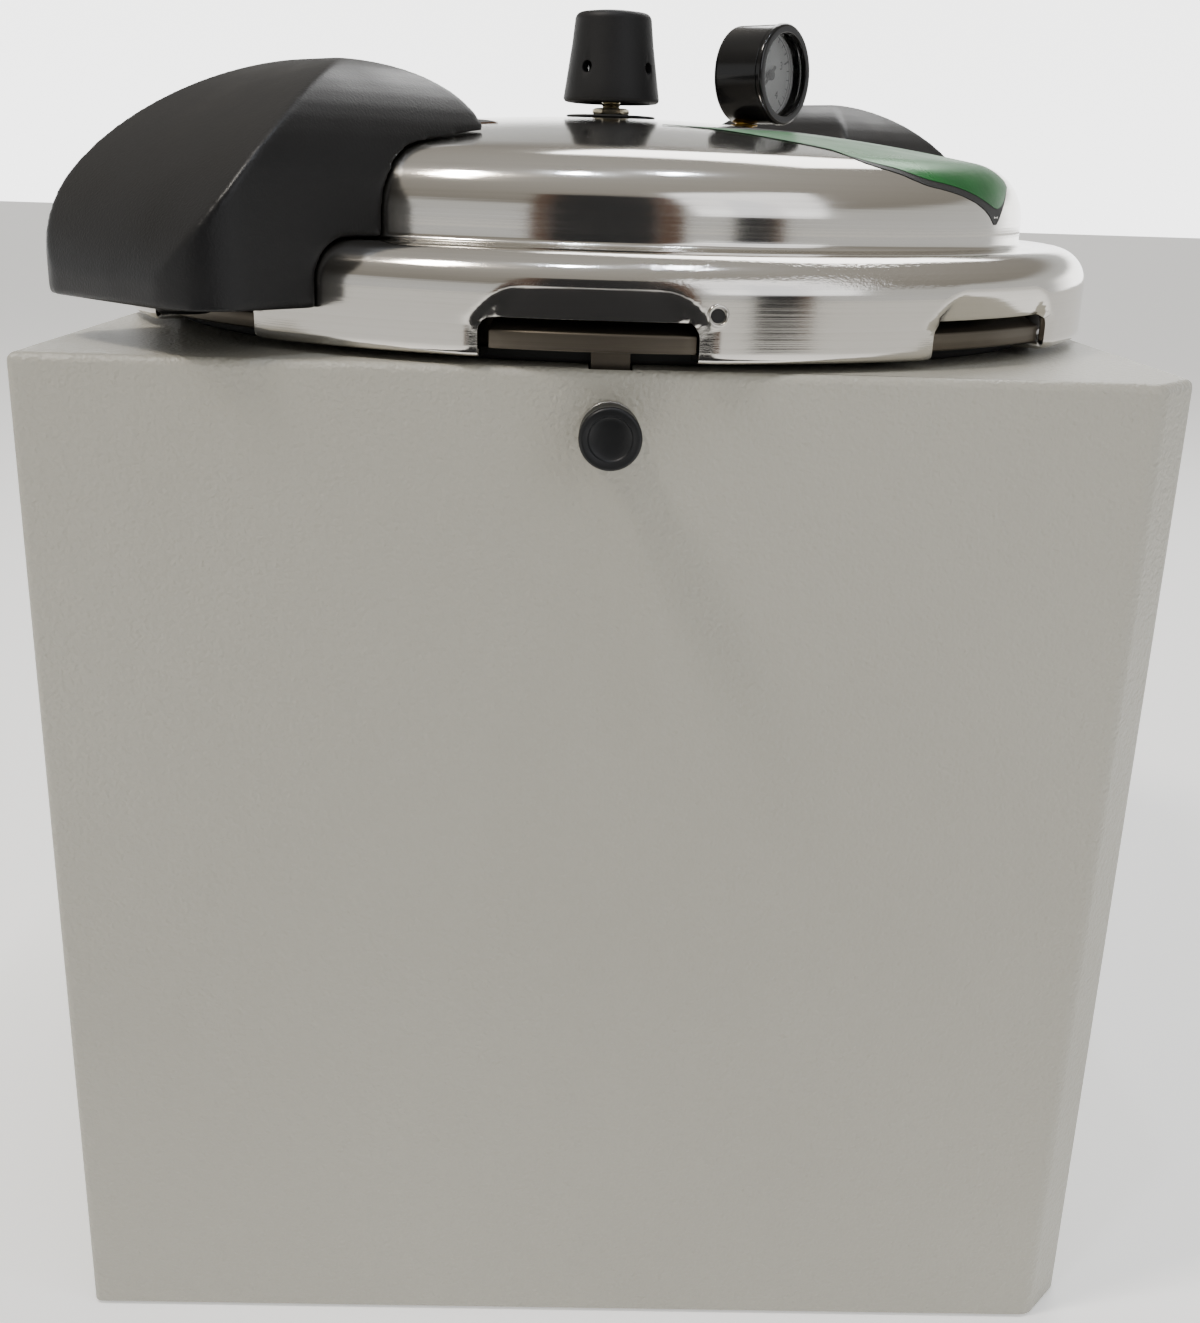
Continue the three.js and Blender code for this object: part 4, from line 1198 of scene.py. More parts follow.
@dataclass
class Lid:
    """The spun lid: a domed top, a step, and a skirt with a cut-out over each lug."""

    wall: float = 2.4
    dome_edge: float = 160.3
    rise: float = 14.8
    step_radius: float = 178.9
    crown: float = 22.7
    wall_height: float = 9.3
    dome_over_crown: float = 14.4
    fillet: float = 2.5
    foot: float = 5.5
    brim_run: float = 8.0
    shoulder: float = 14.0
    lip: float = 194.5
    lip_bend: float = 2.3
    gap_top: float = 398.5
    gap_angle: float = 20.5
    first_gap: float = -2.5
    gaps: int = 8
    corner: float = 4.5
    crease: float = 410.0
    recess: float = 3.5
    recess_narrower: float = 2.9
    recess_flare: float = 3.2
    recess_edge: float = 1.2
    side_press: float = 0.9
    side_reach: float = 6.0
    eyelet_azimuth: float = 9.0
    eyelet_drop: float = 19.0

    def heights(self) -> tuple[float, float, float]:
        """Gives the heights of the skirt's bottom, the step and the dome's top."""
        low, high = (v / MM for v in box_of("lid_shell"))
        step = high.z - self.dome_over_crown - self.crown - self.wall_height
        return low.z, step, high.z

    def dome(self, reach: float) -> float:
        """Gives the dome's height at a distance from the axis, in millimetres."""
        return self.heights()[2] - self.rise * (reach / self.dome_edge) ** 2

    def on_top(self, x: float, y: float, proud: float) -> Vector:
        """Finds the place over a point of the plan, on the dome or round its crown.

        Args:
            x: across, in millimetres.
            y: back, in millimetres.
            proud: distance out of the surface in millimetres.

        Returns:
            The place in metres.
        """
        reach = math.hypot(x, y)
        middle, wall_top = self.step_radius - self.crown, self.heights()[1] + self.wall_height
        if reach < self.dome_edge:
            return Vector((x, y, self.dome(reach) + proud)) * MM
        angle = math.acos(min((reach - middle) / self.crown, 1.0))
        out = (middle + (self.crown + proud) * math.cos(angle)) / reach
        height = wall_top + (self.crown + proud) * math.sin(angle)
        return Vector((x * out, y * out, height)) * MM

    def build(self) -> None:
        """Spins the sheet, cuts and forms the gaps, and gives it its thickness."""
        bottom, step, top = self.heights()
        skirt = box_of("lid_shell")[1].x / MM
        wall_top = step + self.wall_height
        start = math.degrees(math.acos((self.dome_edge - self.step_radius + self.crown) / self.crown))
        s, b, f = self.shoulder, self.lip_bend, self.fillet
        profile = [
            *[(self.dome_edge * i / 16, top - self.rise * (i / 16) ** 2) for i in range(16)],
            *arc(self.step_radius - self.crown, wall_top, self.crown, self.crown, start, 0, 12),
            (self.step_radius, step + self.foot),
            *arc(self.step_radius + f, step + f, f, f, 180, 270, 4),
            (self.step_radius + self.brim_run, step - 0.3),
            *arc(skirt - s, step - s, s, s, 84, 0, 14),
        ]
        profile += line(profile[-1], (skirt, bottom + b), 12)
        profile += arc(skirt - b, bottom + b, b, b, 0, -90, 4)[1:]
        profile += line(profile[-1], (self.lip, bottom), 3)
        obj = turned("lid_shell_spun", profile, 480)
        pitch = 360 / self.gaps
        half = self.gap_angle / 2

        def gap(face: bmesh.types.BMFace) -> bool:
            place = face.calc_center_median()
            reach = Vector((place.x, place.y)).length / MM
            return (
                reach > self.lip - 4
                and place.z < self.gap_top * MM
                and abs(nearest_turn(azimuth_of(place), self.first_gap, pitch)) < half
            )

        pick_faces(obj, gap)
        bpy.ops.mesh.delete(type="FACE")
        self.form_gaps(obj, pitch, half, skirt)
        bpy.ops.mesh.select_all(action="SELECT")
        bpy.ops.mesh.normals_make_consistent(inside=False)
        bpy.ops.object.mode_set(mode="OBJECT")
        modified(obj, "SOLIDIFY", thickness=self.wall * MM, offset=-1, use_even_offset=False)
        rounded(obj, 0.8, 3, 55)
        self.eyelet(skirt, step)
        handed_over(obj, Body.LID, LID_POLISH, ["lid_shell"], 50)

    def form_gaps(self, obj: bpy.types.Object, pitch: float, half: float, skirt: float) -> None:
        """Rounds the cut-outs' top corners and presses their edges inwards.

        Args:
            obj: the spun sheet, in edit mode.
            pitch: angle from one cut-out to the next.
            half: half of a cut-out's angle.
            skirt: the skirt's outer radius.
        """
        mesh = bmesh.from_edit_mesh(obj.data)
        per_degree = math.radians(1) * skirt
        rho = self.corner
        for vert in mesh.verts:
            reach = Vector((vert.co.x, vert.co.y)).length / MM
            height = vert.co.z / MM
            if reach < self.lip - 4 or height > self.gap_top + 14:
                continue
            turn = azimuth_of(vert.co)
            off = nearest_turn(turn, self.first_gap, pitch)
            beyond = (abs(off) - half) * per_degree
            above = height - self.gap_top
            shift, drop = 0.0, 0.0
            on_side = abs(beyond) < 1.5 and above < 0.8
            on_top = abs(above) < 0.8 and beyond < 1.5
            if on_side and -above < rho:
                shift = rho - math.sqrt(max(0.0, rho**2 - (rho + min(0.0, above)) ** 2))
            if on_top and -beyond < rho:
                drop = rho - math.sqrt(max(0.0, rho**2 - (rho + min(0.0, beyond)) ** 2))
            if on_side and on_top:
                shift = drop = rho * (1 - math.sqrt(0.5))
            side = max(0.0, 1 - max(0.0, beyond) / self.side_reach) if above < 0 else 0.0
            fall = min(max((self.crease - height) / (self.crease - self.gap_top), 0.0), 1.0)
            edge = half - self.recess_narrower + self.recess_flare * fall
            fade = min(max((edge - abs(off)) / self.recess_edge, 0.0), 1.0)
            roof = self.recess * fall * fade if above > -0.8 else 0.0
            push = max(self.side_press * side**2, roof)
            angle = math.radians(turn - math.copysign(shift / per_degree, off))
            radius = (reach - push) * MM
            vert.co = Vector((radius * math.sin(angle), -radius * math.cos(angle), vert.co.z - drop * MM))
        bmesh.update_edit_mesh(obj.data)

    def eyelet(self, skirt: float, step: float) -> None:
        """Sets the eyelet in the skirt: a rolled rim round a black disc, painted shade that stands for the
        dark hole.

        Args:
            skirt: the skirt's outer radius.
            step: the step's height.
        """
        turn = Matrix.Rotation(math.radians(self.eyelet_azimuth), 4, "Z")
        place = Matrix.Translation((0, -(skirt - 0.6) * MM, (step - self.eyelet_drop) * MM))
        face = turn @ place @ Matrix.Rotation(math.pi / 2, 4, "X")
        rim = turned(
            "eyelet_rim",
            [(2.6, -2.4), (2.6, 0.9), *arc(3.2, 0.9, 0.6, 0.7, 180, 0, 10)[1:], (3.8, -2.4), (2.6, -2.4)],
            40,
        )
        # The skirt is not pierced: the core is a black disc in the rubber finish, painted shade in place
        # of the dark hole.
        core = turned("eyelet_painted_shade_disc", [(0, -2.2), (2.6, -2.2), (2.6, 0.55), (2.2, 0.65), (0, 0.65)], 32)
        handed_over(moved(rim, face), Body.LID, LID_POLISH)
        handed_over(moved(core, face), Body.LID, BLACK_RUBBER)


@dataclass
class LidPrint:
    """Two plain leaves printed on the dome, each with an outline."""

    near: Profile = field(
        default_factory=lambda: [
            (18, -86), (39, -92), (60, -109), (77, -123), (85, -138), (100, -136), (117, -128),
            (146, -102), (157, -76),
        ]
    )
    far: Profile = field(
        default_factory=lambda: [(18, -86), (48, -83), (74, -63), (110, -60), (157, -72)]
    )
    left_near: Profile = field(
        default_factory=lambda: [(-45, -88), (-62, -86), (-80, -70), (-92, -46), (-94, -34)]
    )
    left_far: Profile = field(
        default_factory=lambda: [(-45, -88), (-52, -70), (-64, -52), (-78, -38), (-94, -34)]
    )

    def build(self, lid: Lid) -> None:
        """Lays each printed patch on the dome.

        Args:
            lid: the lid whose dome it lies on.
        """
        self.patch("print_leaf_edge", lid, self.near, self.far, (-0.03, 1.25), 0.20, DIAL_INK)
        self.patch("print_leaf", lid, self.near, self.far, (0.0, 1.0), 0.32, GREEN_FILM)
        self.patch("print_left_edge", lid, self.left_near, self.left_far, (-0.08, 1.08), 0.20, GOLD_FILM)
        self.patch("print_left", lid, self.left_near, self.left_far, (0.0, 1.0), 0.32, DIAL_INK)

    def along(self, points: Profile, part: float) -> Vector:
        """Follows a smooth curve through points.

        Args:
            points: the points.
            part: how far along, 0 to 1.

        Returns:
            The place on the curve.
        """
        spot = part * (len(points) - 1)
        i = min(int(spot), len(points) - 2)
        t = spot - i
        a, b, c, d = (
            Vector(points[min(max(j, 0), len(points) - 1)]) for j in (i - 1, i, i + 1, i + 2)
        )
        bend = (2 * a - 5 * b + 4 * c - d) * t**2 + (3 * b - a - 3 * c + d) * t**3
        return b + ((c - a) * t + bend) / 2

    def patch(
        self,
        name: str,
        lid: Lid,
        near: Profile,
        far: Profile,
        across: tuple[float, float],
        proud: float,
        finish: Finish,
    ) -> None:
        """Shapes a grid into a leaf that follows the dome.

        Args:
            name: the piece's name.
            lid: the lid.
            near: the leaf's near edge, in plan.
            far: its far edge.
            across: first and last part of the way from one edge to the other.
            proud: its height over the dome in millimetres.
            finish: its ink.
        """
        obj = start_piece(
            name, bpy.ops.mesh.primitive_grid_add, x_subdivisions=110, y_subdivisions=40, size=1
        )
        mesh = bmesh.from_edit_mesh(obj.data)
        for vert in mesh.verts:
            part = min(max(vert.co.x + 0.5, 0.004), 0.996)
            way = across[0] + (across[1] - across[0]) * (vert.co.y + 0.5)
            place = self.along(near, part).lerp(self.along(far, part), way)
            vert.co = lid.on_top(place.x, place.y, proud)
        bmesh.update_edit_mesh(obj.data)
        bpy.ops.mesh.select_all(action="SELECT")
        bpy.ops.mesh.normals_make_consistent(inside=False)
        mesh = bmesh.from_edit_mesh(obj.data)
        if sum(f.normal.z for f in mesh.faces) < 0:
            bpy.ops.mesh.flip_normals()
        bpy.ops.object.mode_set(mode="OBJECT")
        modified(obj, "SOLIDIFY", thickness=0.08 * MM, offset=-1)
        handed_over(obj, Body.LID, finish)


# ---------------------------------------------------------------- lid handles


@dataclass
class Handles:
    """The two moulded handles: broad, sloping outwards, hollow underneath."""

    azimuth: float = -43.5
    width: float = 105.0
    reach: float = 250.0
    inner: float = 119.0
    top_inner: float = 156.5
    inner_curve: float = 24.0
    upright: float = 8.0
    slope: float = 1.5
    boss_drop: float = 5.0
    round: float = 43.0
    plan: float = 22.0
    cavity: tuple[float, float, float, float] = (213.0, 240.0, 35.0, 418.0)
    screw: float = 219.0
    boss: float = 10.0
    skirt_corner: float = 198.1
    grain: float = 1.1

    def build(self, nodes: dict[str, bpy.types.Object], lid: Lid) -> None:
        """Makes one handle and sets a copy on each side.

        Args:
            nodes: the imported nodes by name.
            lid: the lid they sit on.
        """
        model = self.moulded(lid)
        for side, azimuth in (("front", self.azimuth), ("rear", self.azimuth + 180)):
            turn = Matrix.Rotation(math.radians(azimuth - 90), 4, "Z")
            twin = copied(model, f"lid_handle_{side}_moulded", turn)
            handed_over(twin, Body.LID, HANDLE_PHENOLIC, [f"lid_handle_{side}"], 60)
            softened(nodes, f"handle_bracket_{side}", Body.LID, ZINC_STEEL, 0.4)
            softened(nodes, f"handle_screw_{side}", Body.LID, ZINC_STEEL, 0.3)
        bpy.data.objects.remove(model)

    def moulded(self, lid: Lid) -> bpy.types.Object:
        """Cuts the handle out of its three views and softens it as a mould does.

        Args:
            lid: the lid it fits.

        Returns:
            The handle lying along +X.
        """
        low, high = (v / MM for v in box_of("lid_handle_front"))
        bottom, top = low.z + self.boss_drop, high.z
        foot, power = bottom + self.upright, 2 / self.slope
        quarter = [math.pi / 2 * i / 48 for i in range(49)]
        half = self.width / 2
        step, wall_top = lid.heights()[1], lid.heights()[1] + lid.wall_height
        side = [
            (self.reach, bottom),
            *[
                (
                    self.top_inner + (self.reach - self.top_inner) * math.cos(a) ** power,
                    foot + (top - foot) * math.sin(a) ** power,
                )
                for a in quarter[:-1]
            ],
            (self.top_inner, top),
            *arc(
                self.top_inner, top - self.inner_curve, self.top_inner - self.inner,
                self.inner_curve, 90, 180, 10,
            )[1:],
            (self.inner, wall_top + lid.crown - 14), (self.skirt_corner, bottom),
        ]
        obj = pushed("handle_model", [(r, half, z) for r, z in side], (0, -2 * half, 0))
        end = [
            (-half, 0), (half, 0),
            *arc(half - self.round, top - self.round, self.round, self.round, 0, 90, 12),
            *arc(self.round - half, top - self.round, self.round, self.round, 90, 180, 12),
        ]
        plan = [
            (self.inner - 5, -half),
            *arc(self.reach - self.plan, self.plan - half, self.plan, self.plan, -90, 0, 14),
            *arc(self.reach - self.plan, half - self.plan, self.plan, self.plan, 0, 90, 14),
            (self.inner - 5, half),
        ]
        tools = [
            pushed("end_view", [(0, y, z) for y, z in end], (300, 0, 0)),
            pushed("plan_view", [(x, y, 0) for x, y in plan], (0, 0, 600)),
        ]
        combined(obj, tools, "INTERSECT")
        combined(obj, [self.seat(lid, step, wall_top)])
        c0, c1, c2, c3 = self.cavity
        cavity = block("cavity", (c0, -c2, 0), (c1, c2, c3))
        combined(obj, [cavity])
        base = low.z
        boss = turned(
            "boss", [(0, base), (self.boss, base), (self.boss, c3 + 1), (0, c3 + 1)], 40
        )
        combined(obj, [moved(boss, Matrix.Translation((self.screw * MM, 0, 0)))], "UNION")
        sink = turned("sink", [(0, base - 5), (5.3, base - 5), (5.3, base + 5), (0, base + 5)], 32)
        combined(obj, [moved(sink, Matrix.Translation((self.screw * MM, 0, 0)))])
        modified(obj, "REMESH", mode="VOXEL", voxel_size=self.grain * MM, use_smooth_shade=True)
        modified(obj, "SMOOTH", factor=0.5, iterations=12)
        return obj

    def seat(self, lid: Lid, step: float, wall_top: float) -> bpy.types.Object:
        """Makes the lid's outside, a little enlarged, to cut the handle's seat.

        Args:
            lid: the lid.
            step: height of its step.
            wall_top: height where the crown starts.

        Returns:
            The solid of the lid's outside.
        """
        skirt = box_of("lid_shell")[1].x / MM
        s = lid.shoulder
        gap = 0.5
        profile = [
            (0, 0), (skirt + gap, 0),
            *arc(skirt - s, step - s, s + gap, s + gap, 0, 90, 8),
            (lid.step_radius + gap, step + gap),
            *arc(lid.step_radius - lid.crown, wall_top, lid.crown + gap, lid.crown + gap, 0, 80, 10),
            (120, lid.dome(120) + gap), (60, lid.dome(60) + gap), (0, lid.dome(0) + gap),
        ]
        return turned("seat", profile, 144)


# ---------------------------------------------------------------- vent stem and regulator weight


@dataclass
class Regulator:
    """The threaded vent stem with its nuts, and the weight that sits on it."""

    stem: float = 4.1
    pitch: float = 1.25
    cap_bottom: float = 21.2
    cap_top: float = 15.6
    vent_height: float = 14.0
    vent: float = 2.5
    vents: int = 4
    vent_azimuth: float = 54.0

    def build(self) -> None:
        """Makes the stem, the nuts, the washer and the weight."""
        self.threaded_stem()
        self.nut("stem_nut", 14.0)
        self.nut("stem_inner_nut", 15.0)
        low, high = (v / MM for v in box_of("stem_washer"))
        edge = high.x
        washer = turned(
            "stem_washer_cut",
            [
                (self.stem + 0.3, low.z), (edge - 0.4, low.z), (edge, low.z + 0.3), (edge, high.z - 0.3),
                (edge - 0.4, high.z), (self.stem + 0.3, high.z), (self.stem + 0.3, low.z),
            ],
            96,
        )
        handed_over(washer, Body.LID, BLACK_RUBBER, ["stem_washer"])
        self.weight()

    def threaded_stem(self) -> None:
        """Turns the stem with a thread on its outside."""
        low, high = (v / MM for v in box_of("vent_stem"))
        count = int((high.z - low.z - 2) / self.pitch)
        profile = [(1.5, low.z), (self.stem - 0.7, low.z)]
        for i in range(count):
            z = low.z + 0.6 + i * self.pitch
            profile += [(self.stem - 0.55, z), (self.stem, z + self.pitch * 0.45)]
        profile += [(self.stem - 0.7, high.z), (1.5, high.z), (1.5, low.z)]
        handed_over(turned("vent_stem_threaded", profile, 40), Body.LID, NICKEL_PLATE, ["vent_stem"], 30)

    def nut(self, node: str, flats: float) -> None:
        """Makes a hexagon nut with chamfered corners.

        Args:
            node: the node it stands for.
            flats: its width across flats.
        """
        low, high = (v / MM for v in box_of(node))
        corner = flats / math.sqrt(3)
        angles = [math.pi / 3 * i for i in range(6)]
        outline = [(corner * math.cos(a), corner * math.sin(a), low.z) for a in angles]
        obj = pushed(f"{node}_chamfered", outline, (0, 0, high.z - low.z))
        middle, reach, fall = (low.z + high.z) / 2, flats / 2 - 0.2, 1.0
        cone = turned(
            "cone",
            [
                (0, low.z - 0.001), (reach, low.z - 0.001), (reach + 2 * fall, low.z + fall),
                (reach + 2 * fall, high.z - fall), (reach, high.z + 0.001), (0, high.z + 0.001),
            ],
            64,
        )
        combined(obj, [cone], "INTERSECT")
        wide = self.stem + 0.3
        below, above = middle - 9, middle + 9
        bore = turned("bore", [(0, below), (wide, below), (wide, above), (0, above)], 40)
        combined(obj, [bore])
        rounded(obj, 0.12, 2, 35)
        handed_over(obj, Body.LID, NICKEL_PLATE, [node], 35)

    def weight(self) -> None:
        """Turns the tapered weight, bores its vents and fills its core."""
        low, high = (v / MM for v in box_of("regulator_cap"))
        z, top = low.z, high.z
        b, t = self.cap_bottom, self.cap_top
        slope = (b - t) / (top - z)
        profile = [
            (b - 5.0, z + 6), (b - 4.0, z + 0.6), (b - 3.4, z), (b - 1.8, z + 0.2),
            *arc(b - 2.0, z + 1.9, 1.75, 1.7, -70, 0, 6),
            (b - slope * 8, z + 8), (b - slope * 16, z + 16), (b - slope * 24, z + 24),
            *arc(t - 2.6 + slope * 4, top - 4.4, 3.0, 3.4, 0, 78, 8),
            (t * 0.6, top - 0.45), (t * 0.3, top - 0.1), (0, top),
            (0, top - 6), (t - 4, top - 6), (b - 5.0, z + 6),
        ]
        cap = turned("regulator_cap_moulded", profile, 96)
        for i in range(self.vents):
            bore = turned("bore", [(0, 11.5), (self.vent, 11.5), (self.vent, 24), (0, 24)], 32)
            turn = Matrix.Rotation(math.radians(self.vent_azimuth + 360 / self.vents * i), 4, "Z")
            lay = Matrix.Rotation(math.pi / 2, 4, "X")
            lift = Matrix.Translation((0, 0, (z + self.vent_height) * MM))
            combined(cap, [moved(bore, lift @ turn @ lay)])
        rounded(cap, 0.35, 2, 55)
        handed_over(cap, Body.WEIGHT, WEIGHT_PHENOLIC, ["regulator_cap"], 45)


# ---------------------------------------------------------------- pressure gauge


@dataclass
class Gauge:
    """The dial gauge on its brass stem. In its own frame +Z is out of the dial and +Y is up."""

    azimuth: float = 51.0
    case: float = 20.0
    dial_middle: float = 2.1
    rear: float = -12.5
    front: float = 9.5
    dial: float = 2.5
    zero: float = 225.0
    sweep: float = 270.0
    largest: int = 4
    number_inset: float = 7.2

    def frame(self) -> Matrix:
        """Gives the gauge's frame from the dial's place."""
        a = math.radians(self.azimuth)
        out = Vector((math.sin(a), -math.cos(a), 0))
        up = Vector((0, 0, 1))
        across = up.cross(out)
        turn = Matrix((across, up, out)).transposed().to_4x4()
        origin = middle_of("gauge_dial") - out * self.dial_middle * MM
        return Matrix.Translation(origin) @ turn

    def build(self, nodes: dict[str, bpy.types.Object]) -> None:
        """Makes the case, the bezel, the lens and the printed dial.

        Args:
            nodes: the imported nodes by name.
        """
        place = self.frame()
        c, rear, front = self.case, self.rear, self.front
        case = turned(
            "gauge_case_spun",
            [
                (0, rear + 0.3), (10, rear), (c - 3, rear), *arc(c - 2.6, rear + 2.6, 2.6, 2.6, -80, 0, 8),
                (c, front - 0.4), (c - 0.4, front), (c - 1.5, front), (c - 1.5, rear + 3.5), (0, rear + 3),
                (0, rear + 0.3),
            ],
            96,
        )
        handed_over(moved(case, place), Body.LID, GAUGE_ENAMEL, ["gauge_case"])
        inner = c - 3.5
        bezel = turned(
            "gauge_bezel_spun",
            [
                (inner, front + 0.9), *arc(inner + 0.6, front + 2.2, 0.6, 0.7, 180, 90, 4),
                *arc(c - 1.0, front + 1.4, 1.4, 1.5, 90, 0, 8), (c + 0.4, front + 0.4), (c, front + 0.3),
                (inner, front + 0.3), (inner, front + 0.9),
            ],
            96,
        )
        handed_over(moved(bezel, place), Body.LID, GAUGE_ENAMEL, ["gauge_bezel"])
        edge = c - 1.9
        lens = turned(
            "gauge_lens_ground",
            [
                (0, front - 1.7), (edge, front - 1.7), (edge, front - 0.6), (edge * 0.7, front - 0.35),
                (edge * 0.35, front - 0.22), (0, front - 0.2),
            ],
            96,
        )
        handed_over(moved(lens, place), Body.LID, LENS_GLASS, ["gauge_lens"])
        self.dial_face(place)
        softened(nodes, "gauge_pointer", Body.POINTER, DIAL_INK, 0.15)
        softened(nodes, "gauge_stem", Body.LID, TURNED_BRASS, 0.3)
        softened(nodes, "gauge_nut", Body.LID, TURNED_BRASS, 0.4)

    def dial_face(self, place: Matrix) -> None:
        """Makes the dial plate with its ticks and numbers.

        Args:
            place: the gauge's frame.
        """
        edge = self.case - 2.0
        plate = turned(
            "gauge_dial_plate",
            [
                (1.4, self.dial - 0.8), (edge, self.dial - 0.8), (edge, self.dial - 0.2),
                (edge - 0.5, self.dial), (1.4, self.dial), (1.4, self.dial - 0.8),
            ],
            96,
        )
        handed_over(moved(plate, place), Body.LID, DIAL_PAINT, ["gauge_dial"])
        marks = []
        steps = self.largest * 5
        for i in range(steps + 1):
            long = i % 5 == 0
            inner = edge - (4.6 if long else 3.2)
            width = 0.32 if long else 0.16
            tick = block("tick", (inner, -width, self.dial + 0.02), (edge - 1.4, width, self.dial + 0.12))
            turn = math.radians(self.zero - self.sweep * i / steps)
            marks.append(moved(tick, Matrix.Rotation(turn, 4, "Z")))
            if long:
                reach = edge - self.number_inset
                marks.append(self.number(str(i // 5), math.cos(turn) * reach, math.sin(turn) * reach))
        ring = turned(
            "ring",
            [
                (edge - 1.5, self.dial + 0.02), (edge - 1.2, self.dial + 0.02),
                (edge - 1.2, self.dial + 0.12), (edge - 1.5, self.dial + 0.12),
                (edge - 1.5, self.dial + 0.02),
            ],
            96,
        )
        marks.append(ring)
        printed = joined(marks[0], marks[1:])
        printed.name = "gauge_dial_print"
        handed_over(moved(printed, place), Body.LID, DIAL_INK)

    def number(self, word: str, x: float, y: float) -> bpy.types.Object:
        """Sets one number on the dial.

        Args:
            word: the number.
            x: its middle across.
            y: its middle up.

        Returns:
            The number as a mesh.
        """
        clear_selection()
        bpy.ops.object.text_add(location=(0, 0, 0))
        text = bpy.context.object
        text.data.body = word
        text.data.align_x = "CENTER"
        text.data.align_y = "CENTER"
        text.data.size = 4.6 * MM
        text.data.extrude = 0.04 * MM
        bpy.ops.object.convert(target="MESH")
        obj = bpy.context.object
        return moved(obj, Matrix.Translation((x * MM, y * MM, (self.dial + 0.08) * MM)))


# ---------------------------------------------------------------- plunger and back fittings


@dataclass
class Plunger:
    """The spring plunger's knob with a dished face, and its bush."""

    knob: float = 10.3
    face: float = 22.0
    dish: float = 2.2
    length: float = 12.0
    travel: float = 7.1

    def build(self, nodes: dict[str, bpy.types.Object]) -> None:
        """Makes the knob and finishes the bush and the pin.

        Args:
            nodes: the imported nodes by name.
        """
        pin = middle_of("plunger_knob")
        panel = box_of("plunger_knob")[0].y + self.face * MM
        k, f = self.knob, self.face
        back = f - self.length
        profile = [
            (2.5, 15.5), (7.6, 15.5), (7.6, back), (k - 1.6, back),
            *arc(k - 1.2, back + 1.2, 1.0, 1.2, -90, 0, 5),
            (k - 0.5, back + 3.4), (k - 0.5, f - 4.0), (k, f - 3.2), (k, f - 1.4),
            *arc(k - 1.2, f - 1.3, 1.2, 1.3, 0, 100, 8),
            (k * 0.74, f - 0.5), *arc(k * 0.60, f - 0.4, 1.2, 1.2, -10, -60, 3),
            (k * 0.55, f - self.dish + 0.35), (k * 0.4, f - self.dish), (0, f - self.dish - 0.15),
            (0, 18.2), (2.5, 18.2), (2.5, 15.5),
        ]
        obj = turned("plunger_knob_moulded", profile, 96)
        place = Matrix.Translation((pin.x, panel, pin.z)) @ Matrix.Rotation(math.pi / 2, 4, "X")
        handed_over(moved(obj, place), Body.PLUNGER, BLACK_ABS, ["plunger_knob"], 45)
        softened(nodes, "plunger_bush", Body.CABINET, ZINC_STEEL, 0.3)
        softened(nodes, "plunger_pin", Body.PLUNGER, ZINC_STEEL, 0.2)
        spring = softened(nodes, "plunger_spring", Body.CABINET, ZINC_STEEL, 0.12)
        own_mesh(spring)


@dataclass
class BackFittings:
    """The power inlet and the rocker switch."""

    edge: float = 0.7

    def build(self, nodes: dict[str, bpy.types.Object]) -> None:
        """Softens the moulded parts.

        Args:
            nodes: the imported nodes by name.
        """
        softened(nodes, "power_inlet", Body.CABINET, BLACK_ABS, self.edge)
        softened(nodes, "switch_frame", Body.CABINET, BLACK_ABS, self.edge)
        softened(nodes, "switch_rocker", Body.ROCKER, BLACK_ABS, self.edge)


@dataclass
class PlainParts:
    """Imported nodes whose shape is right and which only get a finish."""

    def dress(self, nodes: dict[str, bpy.types.Object]) -> None:
        """Puts a finish on each.

        Args:
            nodes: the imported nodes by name.
        """
        finishes = {
            "heater_tray": ZINC_STEEL, "heating_element": POT_METAL, "overheat_thermostat": BLACK_ABS,
            "jar_rack": RACK_METAL, "regulator_insert": ZINC_STEEL,
            "safety_plug": BLACK_RUBBER, "gauge_movement": TURNED_BRASS, "bourdon_tube": TURNED_BRASS,
        }
        for name, finish in finishes.items():
            mesh = nodes[name].data
            if not mesh.materials:
                mesh.materials.append(finish.material())
            for i in range(len(mesh.materials)):
                mesh.materials[i] = finish.material()
            LOG.info("%s: %s", name, finish.name)


# ---------------------------------------------------------------- studio


